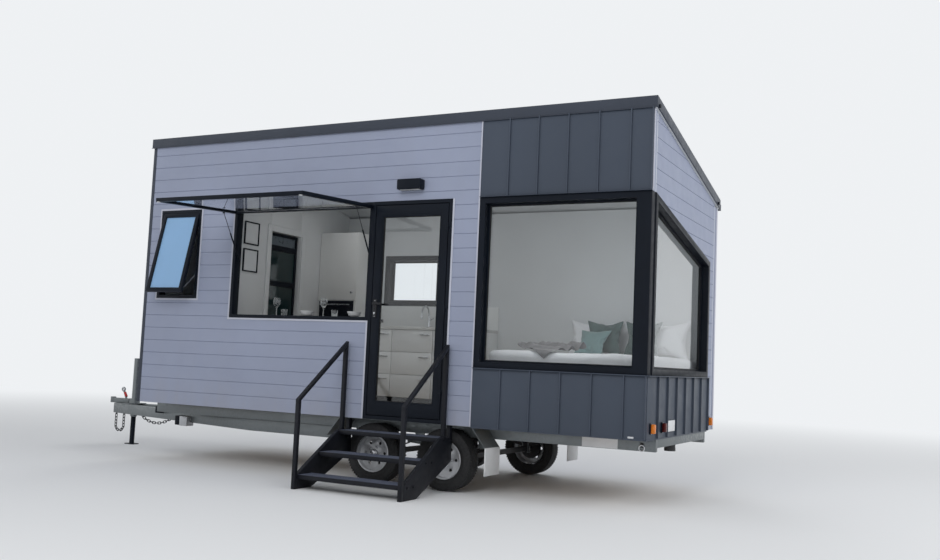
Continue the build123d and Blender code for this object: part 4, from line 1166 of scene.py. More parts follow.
@dataclass
class Glazing(Assembly):
    """Windows: framed, beaded and gasketed, with the servery's struts and the bathroom's stays.

    Attributes:
        bar: The fixed windows' bar width.
        post: The corner post's width, up to the near pane.
        recess: How far the panes lie behind the faces.
        glass: The panes' thickness.
        bead: The glazing beads' width.
        bead_depth: Their depth.
        strut: The gas struts' radius.
        barrel: How far the barrel reaches up the strut.
        highlight_length: The length of the pale marks on the servery sash, which are painted highlights at
            its corners.
    """

    bar: float = 0.062
    post: float = 0.142
    recess: float = 0.08
    glass: float = 0.01
    bead: float = 0.016
    bead_depth: float = 0.014
    strut: float = 0.0078
    barrel: float = 0.58
    highlight_length: float = 0.03

    def build(self) -> None:
        """Makes the windows' pieces."""
        for node in (
            "bathroom_frame", "bathroom_sash", "servery_frame", "servery_sash",
            "corner_frame_near", "corner_frame_end", "kitchen_frame",
        ):
            self.bench.refit(node, JOINERY, "joinery_black", 0.003)
        self.bench.coat("bathroom_glass", FROSTED)
        for node in ("servery_glass", "window_glass"):
            self.bench.coat(node, CLEAR)
        self.fixed_beads()
        self.sash_corner_highlights()
        self.struts()
        self.stays()

    def fixed_beads(self) -> None:
        """Beads the corner window's and the kitchen window's panes."""
        lines, bar, half = self.lines, self.bar, self.glass / 2
        near, raked, kitchen = (
            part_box(name) for name in ("corner_frame_near", "corner_frame_end", "kitchen_frame")
        )
        low, high = near[0].z + bar, near[1].z - bar
        y, x = lines.front + self.recess + half, lines.right - self.recess - half
        y0, y1 = raked[0].y + bar, raked[1].y - bar
        drop = bar / cos(lines.pitch)
        slanted = sideways(y0, y1, low, low, x)
        slanted[2].z, slanted[3].z = lines.raked_head(y1) - drop, lines.raked_head(y0) - drop
        back = upright(
            kitchen[0].x + bar, kitchen[1].x - bar, kitchen[0].z + bar, kitchen[1].z - bar,
            lines.rear - half,
        )
        beading = Beading(self.bead, self.bead_depth)
        for pane, out in (
            (upright(near[0].x + bar, lines.right - self.post, low, high, y), -REAR),
            (slanted, ALONG),
            (back, -REAR),
        ):
            beading.pane(pane, out, self.glass)
        beading.finish("window")

    def sash_corner_highlights(self) -> None:
        """Puts two pale marks on the foot of the servery sash: painted highlights where its corners catch the
        light.
        """
        low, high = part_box("servery_sash")
        highlights = Form()
        for x in (low.x + 0.015, high.x - 0.045):
            foot, top = (x, low.y + 0.002, low.z - 0.005), (x + self.highlight_length, low.y + 0.022, low.z + 0.001)
            highlights.block(foot, top, 0.001)
        # Painted highlight: two small pale blocks at the sash's lower corners.
        highlights.finish("sash_corner_highlights", FLAP, "joinery_black")

    def struts(self) -> None:
        """Makes each gas strut as a barrel, a thin rod and two end fittings."""
        low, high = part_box("servery_struts")
        barrels, rods = Form(), Form()
        radius = self.strut
        for x in (low.x + radius, high.x - radius):
            foot = Vector((x, high.y - radius, low.z + radius))
            top = Vector((x, low.y + radius, high.z - radius))
            joint = foot.lerp(top, self.barrel)
            barrels.rod(foot.lerp(top, 0.03), joint, radius, 24)
            rods.rod(joint, top, radius * 0.45, 16)
            for end in (foot, top):
                barrels.rod(end - ALONG * 0.012, end + ALONG * 0.012, 0.007, 16)
        barrels.finish("strut_barrels", JOINERY, "strut_steel", replaces=("servery_struts",))
        rods.finish("strut_rods", STEEL_DARK, "strut_steel")

    def stays(self) -> None:
        """Holds the tilted bathroom sash with a stay at each side."""
        frame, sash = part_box("bathroom_frame"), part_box("bathroom_sash")
        stays = Form()
        for x in (frame[0].x + 0.030, frame[1].x - 0.036):
            start = (x, self.lines.front + 0.03, frame[0].z + 0.30)
            stays.rod(start, (x, sash[0].y + 0.045, sash[0].z + 0.06), 0.004, 8)
        stays.finish("bathroom_stays", STEEL, "strut_steel")


@dataclass
class Entry(Assembly):
    """The glazed entry door with its frame and handles, and the wall light over it.

    Attributes:
        stile: The leaf's stile width.
        leaf: The leaf's thickness.
        set_out: How far the leaf stands out of the wall's face.
        plate: The handle plates' thickness.
        key: Height of the key cylinders over the walls' foot.
        bead: The width of the beads round its pane.
        bead_depth: Their depth.
        lens_inset: How far the light's lenses lie inside its rim.
    """

    stile: float = 0.078
    leaf: float = 0.045
    set_out: float = 0.008
    plate: float = 0.009
    key: float = 1.058
    bead: float = 0.014
    bead_depth: float = 0.015
    lens_inset: float = 0.022

    def build(self) -> None:
        """Makes the door's and the light's pieces."""
        bench = self.bench
        bench.refit("door_frame", JOINERY, "joinery_black", 0.0025)
        bench.refit("door_leaf", JOINERY, "joinery_black", 0.0025, "entry_door")
        bench.refit("door_handles", STEEL_DARK, "handle_black", 0.0025, "entry_door")
        bench.coat("door_glass", CLEAR)
        low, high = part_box("door_glass")
        beading = Beading(self.bead, self.bead_depth)
        pane = upright(low.x, high.x, low.z, high.z, (low.y + high.y) / 2)
        beading.pane(pane, -REAR, high.y - low.y)
        beading.finish("door", "entry_door")
        self.locks()
        self.light()

    def locks(self) -> None:
        """Adds the key cylinders and the fixing screws of the handle plates."""
        low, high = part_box("door_handles")
        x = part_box("door_leaf")[0].x + self.stile / 2
        parts = Form()
        face = self.lines.front - self.set_out
        for y, out in ((face - self.plate, -REAR), (face + self.leaf + self.plate, REAR)):
            key = Vector((x, y, self.lines.foot + self.key))
            parts.rod(key, key + out * 0.006, 0.009)
            ends = sorted((0.0, out.y * 0.009))
            foot, top = Vector((-0.0045, ends[0], -0.017)), Vector((0.0045, ends[1], 0.0))
            parts.block(key + foot, key + top, 0.001)
            for z in (low.z + 0.012, high.z - 0.012):
                screw = Vector((x, y, z))
                parts.rod(screw, screw + out * 0.0015, 0.004, 12)
        parts.finish("door_locks", STEEL, "handle_black", "entry_door")

    def light(self) -> None:
        """Makes the wall light's body and its lenses."""
        self.bench.refit("wall_light", JOINERY, "light_black", 0.004)
        low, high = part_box("wall_light")
        lens = Form()
        inset = self.lens_inset
        for z0, z1 in ((low.z - 0.0015, low.z + 0.004), (high.z - 0.004, high.z + 0.0015)):
            foot, top = (low.x + inset, low.y + inset, z0), (high.x - inset, high.y - inset, z1)
            lens.block(foot, top, 0.001)
        lens.finish("wall_light_lenses", LENS, "light_black")


@dataclass
class Interior(Assembly):
    """What shows through the openings: floor, partition, inner door, units and pictures.

    Attributes:
        plank: The floor planks' width.
        plank_depth: Their thickness.
        knuckle: How far the inner door's hinges reach past its leaf.
        inner_bar: The inner door's bars.
        splits: Heights over the walls' foot at which the inner door's lights are split.
        casing: The architrave's width.
        gap: The gap between fronts.
        front: The thickness of the units' fronts.
        deep: The units' depth.
        cupboard: The tall cupboard's width.
        cupboard_top: Its height over the walls' foot.
        oven: The oven's lowest and highest point over the walls' foot.
        kick: The plinth's height.
        worktop: The worktop's height over the floor.
        top: The worktop's thickness.
        drawer_rows: How many drawers are stacked in the bench.
        drawer_columns: How many stacks of drawers there are.
        knob: A door knob, as distances out and radii.
        tap_foot: The tap's foot, as heights and radii.
        tap_reach: Half the reach of the tap's bend.
    """

    plank: float = 0.18
    plank_depth: float = 0.012
    knuckle: float = 0.0116
    inner_bar: float = 0.032
    splits: tuple[float, ...] = (1.44, 1.86)
    casing: float = 0.07
    gap: float = 0.004
    front: float = 0.018
    deep: float = 0.6
    cupboard: float = 0.56
    cupboard_top: float = 2.15
    oven: tuple[float, float] = (1.0, 1.3)
    kick: float = 0.1
    worktop: float = 0.94
    top: float = 0.038
    drawer_rows: int = 3
    drawer_columns: int = 3
    knob: Profile = ((0.0, 0.0), (0.0, 0.009), (0.014, 0.007), (0.02, 0.014), (0.03, 0.012), (0.033, 0.0))
    tap_foot: Profile = ((0.0, 0.0), (0.0, 0.026), (0.008, 0.024), (0.012, 0.016), (0.16, 0.013), (0.16, 0.0))
    tap_reach: float = 0.09

    def build(self) -> None:
        """Makes the pieces inside the house."""
        self.floor()
        self.partition()
        self.inner_door()
        self.units()
        self.tap()
        self.sink()
        self.pictures()

    def floor(self) -> None:
        """Lays planks in staggered lengths on a base."""
        low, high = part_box("floor")
        planks = Form()
        base, half_gap = high.z - self.plank_depth, 0.0005
        planks.block(low, (high.x, high.y, base))
        for row in range(int((high.y - low.y) / self.plank) + 1):
            y0 = low.y + row * self.plank
            y1 = min(y0 + self.plank, high.y)
            x, length = low.x, 0.6 + 0.45 * (row % 3)
            while x < high.x - 0.05:
                end = min(x + length, high.x)
                corner = (end - half_gap, y1 - half_gap, high.z)
                planks.block((x + half_gap, y0 + half_gap, base), corner, 0.001)
                x, length = end, 1.8
        planks.finish("floor_planks", FLOORING, "floor_timber", replaces=("floor",))

    def partition(self) -> None:
        """Makes the partition and its architrave."""
        self.bench.refit("partition", LINING, "lining_white", 0.002)
        low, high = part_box("inner_door")
        wall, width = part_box("partition"), self.casing
        trims = Form()
        y0, y1, top, foot = low.y - 0.008, high.y + 0.006, high.z + 0.008, wall[0].z
        for a, b, z0, z1 in (
            (y0 - width, y0, foot, top + width),
            (y1, y1 + width, foot, top + width),
            (y0, y1, top, top + width),
        ):
            trims.block((wall[1].x, a, z0), (wall[1].x + 0.016, b, z1), 0.003)
        trims.finish("inner_architrave", LINING, "lining_white")

    def inner_door(self) -> None:
        """Makes the inner door: a black frame with three glazed lights."""
        bar = self.inner_bar
        low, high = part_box("inner_door")
        x0, x1, edge = low.x + 0.016, high.x, high.y - self.knuckle
        middle = (x0 + x1) / 2
        frame, dark, pale = Form(), Form(), Form()
        levels = [low.z, *(self.lines.foot + split for split in self.splits), high.z]
        for z0, z1, light in zip(levels, levels[1:], (dark, dark, pale)):
            frame.ring(sideways(low.y, edge, z0, z1, x0), bar, ALONG * (x1 - x0), 0.002)
            corner = (middle + 0.004, edge - bar, z1 - bar)
            light.block((middle - 0.004, low.y + bar, z0 + bar), corner)
        frame.finish("inner_door_frame", JOINERY, "inner_dark", "inner_door", ("inner_door",))
        dark.finish("inner_door_dark_lights", DARK_GLASS, "inner_dark", "inner_door")
        pale.finish("inner_door_top_light", OPAL, "frosted_glass", "inner_door")

    def units(self) -> None:
        """Makes the tall cupboard and the bench with their fronts, handles, oven and worktop."""
        gap, foot = self.gap, self.lines.foot
        low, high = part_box("kitchen_units")
        split, face = low.x + self.cupboard, high.y - self.deep
        body, kick = face + self.front + 0.001, low.z + self.kick
        top, cupboard_top = low.z + self.worktop, foot + self.cupboard_top
        under = top - self.top
        oven_low, oven_high = (foot + height for height in self.oven)
        carcass, fronts, tops = Form(), Form(), Form()
        black, handles = Form(), Form()
        carcass.block((low.x, body, kick), (split, high.y, cupboard_top), 0.002)
        carcass.block((split, body, kick), (high.x, high.y, under), 0.002)
        black.block((low.x, body + 0.05, low.z), (high.x, high.y, kick))
        corner = (split - 0.03, body, oven_high - gap)
        black.block((low.x + 0.03, face - 0.004, oven_low + gap), corner, 0.003)
        width = (high.x - split) / self.drawer_columns
        rise = (under - kick) / self.drawer_rows
        leaves = [(low.x, split, kick, oven_low), (low.x, split, oven_high, cupboard_top)]
        for column in range(self.drawer_columns):
            for row in range(self.drawer_rows):
                x0, z0 = split + column * width, kick + row * rise
                x1, z1 = x0 + width, z0 + rise
                leaves.append((x0, x1, z0, z1))
                corner = (x1 - 0.04, face - 0.004, z1 - 0.048)
                handles.block((x1 - 0.17, face - 0.022, z1 - 0.06), corner, 0.003)
        for x0, x1, z0, z1 in leaves:
            fronts.block((x0 + gap, face, z0 + gap), (x1 - gap, body - 0.001, z1 - gap), 0.002)
        tops.block((split, low.y, under), (high.x, high.y, top), 0.004)
        handles.turned(self.knob, (split - 0.05, face, foot + 1.4), -REAR, 20)
        y, z = face - 0.03, oven_high - 0.05
        handles.rod((low.x + 0.06, y, z), (split - 0.06, y, z), 0.007, 12)
        carcass.finish("unit_carcass", UNIT, "unit_white", replaces=("kitchen_units",))
        fronts.finish("unit_fronts", UNIT, "unit_white")
        tops.finish("worktop", WORKTOP, "unit_white")
        black.finish("oven_and_plinth", JOINERY, "unit_white")
        handles.finish("unit_handles", STEEL, "unit_white")

    def sink_place(self) -> Vector:
        """The point of the worktop behind which the tap stands, at the wall."""
        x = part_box("kitchen_frame")[1].x - 0.09
        return Vector((x, self.lines.rear - self.lines.wall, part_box("kitchen_units")[0].z + self.worktop))

    def tap(self) -> None:
        """Makes the bent tap with its lever."""
        foot = self.sink_place() - REAR * 0.09
        tap = Form()
        tap.turned(self.tap_foot, foot, steps=24)
        bends, reach = 10, self.tap_reach
        turns = [pi * step / bends for step in range(bends + 1)]
        points = [
            foot + Vector((0.0, -reach + reach * cos(turn), 0.16 + 0.11 * sin(turn))) for turn in turns
        ]
        for start, end in zip(points, points[1:]):
            tap.rod(start, end, 0.010, 16)
        tap.rod(points[-1], points[-1] - UP * 0.05, 0.011, 16)
        tap.rod(foot + UP * 0.09, foot + Vector((0.06, 0, 0.13)), 0.006, 12)
        tap.finish("kitchen_tap", STEEL, "unit_white")

    def sink(self) -> None:
        """Makes the sink with its rim, and the upstand behind the worktop."""
        place = self.sink_place()
        x0, x1, y0, y1 = place.x - 0.28, place.x + 0.22, place.y - 0.48, place.y - 0.13
        sink, upstand = Form(), Form()
        rim = [Vector((x, y, place.z)) for x, y in ((x0, y0), (x1, y0), (x1, y1), (x0, y1))]
        sink.ring(rim, 0.018, UP * 0.003, 0.001)
        inside = (x1 - 0.015, y1 - 0.015, place.z + 0.0008)
        sink.block((x0 + 0.015, y0 + 0.015, place.z), inside)
        sink.finish("kitchen_sink", STEEL, "unit_white")
        low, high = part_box("kitchen_units")
        corner = (high.x, place.y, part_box("kitchen_frame")[0].z)
        upstand.block((low.x + self.cupboard, place.y - 0.012, place.z), corner, 0.001)
        upstand.finish("kitchen_upstand", UNIT, "unit_white")

    def pictures(self) -> None:
        """Hangs two plain frames, with bare mats, on the partition."""
        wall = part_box("partition")[1].x
        frames, mats = Form(), Form()
        y0, y1, bar = self.lines.front + 0.25, self.lines.front + 0.50, 0.013
        for z0, z1 in ((1.83, 2.09), (1.52, 1.78)):
            low, high = self.lines.foot + z0, self.lines.foot + z1
            frames.ring(sideways(y0, y1, low, high, wall), 0.014, ALONG * 0.018, 0.002)
            mats.block((wall, y0 + bar, low + bar), (wall + 0.008, y1 - bar, high - bar))
        frames.finish("picture_frames", JOINERY, "lining_white")
        mats.finish("picture_mats", LINING, "lining_white")


@dataclass
class Bedding(Assembly):
    """The made-up bed: base, mattress, duvet, pillows, cushions and a throw.

    Attributes:
        duvet: The duvet's thickness.
        hem: Height of the duvet's hem over the base.
        step: Space between the duvet's mesh lines.
        round: Radius of the duvet's rounded edges.
        throw: The throw's flat side.
        gather: How far it is gathered across the bed, as a share of its flat size.
        turn: How far it is turned on the bed, in degrees.
        folds: From one of its folds to the next.
        frames: How many frames each filling is simulated for.
        reach: How far a filling may move a point.
    """

    duvet: float = 0.024
    hem: float = 0.05
    step: float = 0.03
    round: float = 0.07
    throw: float = 0.54
    gather: float = 0.78
    turn: float = 49.0
    folds: float = 0.11
    frames: int = 18
    reach: float = 0.05

    def build(self) -> None:
        """Makes the bed's pieces."""
        self.bench.refit("bed_base", BED_TIMBER, "bed_timber", 0.004)
        whole, front, *others = self.bench.islands("bedding")
        pair, pillows = others[:2], others[2:4]
        mattress = self.mattress(whole)
        cover = self.cover(whole, pair[0][0].y - 0.16)
        seat = whole[1].z - 0.012
        for index, box in enumerate(pillows):
            self.cushion(f"pillow_{index + 1}", box, LINEN, seat, 9.0, 0.0, 0.7)
        for index, box in enumerate(pair):
            self.cushion(f"dark_cushion_{index + 1}", box, DARK_CLOTH, seat, 12.0, 4.0 - 9.0 * index, 0.8)
        self.cushion("pale_green_cushion", front, MINT_CLOTH, seat, 36.0, -7.0, 0.8, 0.88)
        self.throw_over(whole, cover)
        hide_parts("bedding")

    def mattress(self, whole: Box) -> Object:
        """Makes the mattress, a little inside the duvet.

        Args:
            whole: The bed solid's corners.

        Returns:
            The mattress.
        """
        low, high = whole
        inside = self.duvet + 0.014
        pad = Form()
        foot = low + Vector((inside, inside, 0.001))
        pad.block(foot, high - Vector((inside, 0.002, 0.014)), 0.03)
        bmesh.ops.subdivide_edges(pad.bm, edges=pad.bm.edges[:], cuts=3, use_grid_fill=True)
        piece = pad.finish("mattress", LINEN, "bed_linen")
        return piece

    def cover(self, whole: Box, far: float) -> Object:
        """Makes the duvet: a soft shell over the mattress, open at its far edge and below.

        Args:
            whole: The bed solid's corners.
            far: The y of its far edge.

        Returns:
            The duvet.
        """
        low, high = whole
        shell = Form()
        bm = shell.bm
        floor = low.z + self.hem
        shell.block((low.x + 0.003, low.y + 0.002, floor), (high.x - 0.003, far, high.z + 0.004))
        gone = [face for face in bm.faces if face.normal.z < -0.9 or face.normal.y > 0.9]
        bmesh.ops.delete(bm, geom=gone, context="FACES")
        shell.ease({line for line in bm.edges if len(line.link_faces) == 2}, self.round, 6)
        for across, start, end in ((ALONG, low.x, high.x), (REAR, low.y, far), (UP, floor, high.z)):
            for index in range(1, int((end - start) / self.step)):
                shell.cut(Vector((start,) * 3) + across * index * self.step, across)
        bmesh.ops.remove_doubles(bm, verts=bm.verts, dist=0.004)
        bmesh.ops.recalc_face_normals(bm, faces=bm.faces)
        bm.normal_update()
        for vert in bm.verts:
            place = vert.co
            swell = noise.noise(place * 3.1) * 0.010 + noise.noise(place * 8.0) * 0.005
            crease = abs(noise.noise(Vector((place.x * 9.0, place.y * 2.2, place.z * 5.0)))) * 0.011
            gather = max(0.0, 1.0 - abs(place.y - far) / 0.3) * 0.012
            vert.co += vert.normal * (swell - crease + gather - 0.004)
        for vert in bm.verts:
            if vert.co.z < floor + 0.02:
                vert.co.z += 0.014 * noise.noise(vert.co * 6.0)
            vert.co.y = max(vert.co.y, low.y - 0.006)
            vert.co.x = min(max(vert.co.x, low.x - 0.004), high.x + 0.004)
        axes = {f"use_axis_{axis}": True for axis in "xyz"}
        bmesh.ops.smooth_vert(bm, verts=bm.verts, factor=0.4, **axes)
        piece = shell.finish("duvet", LINEN, "bed_linen")
        self.layers(piece, self.duvet)
        return piece

    def layers(self, piece: Object, thick: float) -> None:
        """Gives a sheet its thickness inwards and rounds it.

        Args:
            piece: The sheet.
            thick: Its thickness.
        """
        shell = piece.modifiers.new("thickness", "SOLIDIFY")
        shell.thickness, shell.offset = thick, -1.0
        round_off(piece)

    def fill(self, piece: Object, pressure: float) -> None:
        """Swells a piece by a cloth simulation, and holds each point within reach.

        Args:
            piece: The piece, whose mesh takes the result.
            pressure: The pressure inside it.
        """
        scene = bpy.context.scene
        cloth = piece.modifiers.new("filling", "CLOTH")
        cloth.settings.quality = 6
        cloth.settings.mass = 0.3
        cloth.settings.use_pressure = True
        cloth.settings.uniform_pressure_force = pressure
        cloth.settings.effector_weights.gravity = 0.0
        cloth.collision_settings.use_collision = False
        cloth.point_cache.frame_start, cloth.point_cache.frame_end = 1, self.frames
        for frame in range(1, self.frames + 1):
            scene.frame_set(frame)
        shown = piece.evaluated_get(bpy.context.evaluated_depsgraph_get())
        moved = [vert.co.copy() for vert in shown.data.vertices]
        piece.modifiers.remove(cloth)
        scene.frame_set(1)
        for vert, place in zip(piece.data.vertices, moved):
            way = place - vert.co
            if way.length > self.reach:
                way *= self.reach / way.length
            vert.co += way
        LOG.info("%s was filled by simulation", piece.name)

    def cushion(
        self, name: str, box: Box, finish: Finish, seat: float,
        lean: float, turn: float, fill: float, scale: float = 1.0,
    ) -> None:
        """Makes a two-sided cushion that leans in the space of its solid.

        Args:
            name: The cushion's name.
            box: Its solid's corners.
            finish: Its cloth.
            seat: The height it stands on.
            lean: How far it leans back, in degrees.
            turn: How far it is turned on the bed, in degrees.
            fill: How full it is.
            scale: Its size against its solid's.
        """
        low, high = box
        width, thick, height = (high - low) * scale
        case = Form()
        bmesh.ops.create_grid(case.bm, x_segments=44, y_segments=30, size=1.0)
        case.draw_out(case.bm.faces[:], UP * 0.01)
        for vert in case.bm.verts:
            u, v = vert.co.x, vert.co.y
            crown = (max(0.0, 1.0 - u ** 4) * max(0.0, 1.0 - v ** 4)) ** 0.6
            side = 1.0 if vert.co.z > 0.005 else -1.0
            waist = 1.0 - 0.05 * (1.0 - v * v) * abs(u) ** 3
            waist_up = 1.0 - 0.05 * (1.0 - u * u) * abs(v) ** 3
            wave = noise.noise(Vector((u * 4.0, v * 4.0, low.x * 7.0))) * 0.004
            bulge = side * (0.004 + crown * thick * 0.36) + wave
            vert.co = Vector((u * width / 2 * waist, v * height / 2 * waist_up, bulge))
        piece = case.finish(name, finish, "bed_linen")
        self.fill(piece, 6.0 * fill + 2.0)
        mesh = piece.data
        reach = [max(abs(vert.co[axis]) for vert in mesh.vertices) for axis in range(3)]
        fit = (width / 2 / reach[0], height / 2 / reach[1], thick * 0.46 / reach[2], 1.0)
        mesh.transform(Matrix.Diagonal(fit))
        mesh.transform(Matrix.Rotation(radians(90.0 - lean), 4, "X"))
        mesh.transform(Matrix.Rotation(radians(turn), 4, "Z"))
        floor = min(vert.co.z for vert in mesh.vertices)
        back = max(vert.co.y for vert in mesh.vertices)
        mesh.transform(Matrix.Translation(((low.x + high.x) / 2, high.y - back - 0.001, seat - floor)))
        round_off(piece)

    def throw_over(self, whole: Box, cover: Object) -> None:
        """Lays a square throw cornerwise over the duvet's near edge.

        Args:
            whole: The bed solid's corners.
            cover: The duvet it lies on.
        """
        low, high = whole
        square = Form()
        bm = square.bm
        bmesh.ops.create_grid(bm, x_segments=56, y_segments=56, size=1.0)
        bmesh.ops.rotate(bm, verts=bm.verts, matrix=Matrix.Rotation(radians(self.turn), 3, "Z"))
        top, radius = high.z + 0.016, self.round + 0.01
        bend = low.y - 0.004 + radius
        x_mid, y_mid = low.x + 0.37 * (high.x - low.x), low.y + 0.24
        quarter = pi / 2 * radius
        for vert in bm.verts:
            x = x_mid + vert.co.x * self.throw / 2 * 0.94
            y = y_mid + vert.co.y * self.throw / 2 * self.gather
            along = bend - y
            bent = 2.2 * noise.noise(Vector((x * 3.0, y * 3.0, 2.0)))
            fold = 0.5 + 0.5 * sin(2 * pi * (y + 0.35 * x) / self.folds + bent)
            out = fold * 0.016 + abs(noise.noise(Vector((x * 9.0, y * 5.0, 0.0)))) * 0.012 + 0.001
            if along <= 0.0:
                vert.co = Vector((x, y, top + out * (1.0 + 3.0 * min(1.0, -along / 0.15))))
            elif along < quarter:
                turn, far = along / radius, radius + out
                vert.co = Vector((x, bend - far * sin(turn), top - radius + far * cos(turn)))
            else:
                vert.co = Vector((x, bend - radius - out, top - radius - (along - quarter)))
        piece = square.finish("throw", THROW_CLOTH, "bed_linen")
        self.layers(piece, 0.003)


@dataclass
class Table(Assembly):
    """Plain tableware on the servery's bar top.

    Attributes:
        glasses: Where the stemmed glasses stand along the bar.
        bowls: Where the bowls stand.
        tumblers: Where the tumblers stand.
        inward: How far they stand behind the near face.
        stem: A stemmed glass, as heights and radii, up its outside and down its inside.
        tumbler: A tumbler.
        bowl: A bowl.
    """

    glasses: tuple[float, ...] = (-0.407, 0.216)
    bowls: tuple[float, ...] = (0.007, 0.609)
    tumblers: tuple[float, ...] = (-0.30, 0.36)
    inward: float = 0.19
    stem: Profile = (
        (0.0, 0.0), (0.0, 0.033), (0.003, 0.032), (0.008, 0.006), (0.085, 0.0035), (0.1, 0.018),
        (0.13, 0.036), (0.16, 0.039), (0.2, 0.031), (0.2, 0.0295), (0.16, 0.0375), (0.13, 0.0345),
        (0.102, 0.016), (0.094, 0.0),
    )
    tumbler: Profile = (
        (0.0, 0.0), (0.0, 0.03), (0.002, 0.031), (0.075, 0.036), (0.075, 0.0345), (0.008, 0.0295),
        (0.008, 0.0),
    )
    bowl: Profile = (
        (0.0, 0.0), (0.0, 0.035), (0.006, 0.037), (0.02, 0.058), (0.058, 0.076), (0.06, 0.075),
        (0.024, 0.052), (0.014, 0.03), (0.012, 0.0),
    )

    def build(self) -> None:
        """Makes the glasses and the bowls."""
        y, top = self.lines.front + self.inward, self.bar_top() + 0.0005
        glass, china = Form(), Form()
        for places, shape, ware in (
            (self.glasses, self.stem, glass), (self.tumblers, self.tumbler, glass),
            (self.bowls, self.bowl, china),
        ):
            for x in places:
                ware.turned(shape, (x, y, top), steps=32)
        glass.finish("stemmed_glasses", CLEAR, "clear_glass")
        china.finish("bowls", FLAP, "lining_white")

    def bar_top(self) -> float:
        """Height of the bar top, the highest level face low in the servery's frame.

        Returns:
            The height.
        """
        frame = self.bench.copy("servery_frame").bm
        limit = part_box("servery_frame")[0].z + 0.3
        wide = [face for face in frame.faces if face.normal.z > 0.9 and face.calc_area() > 0.1]
        levels = [face.calc_center_median().z for face in wide]
        frame.free()
        return max(level for level in levels if level < limit)


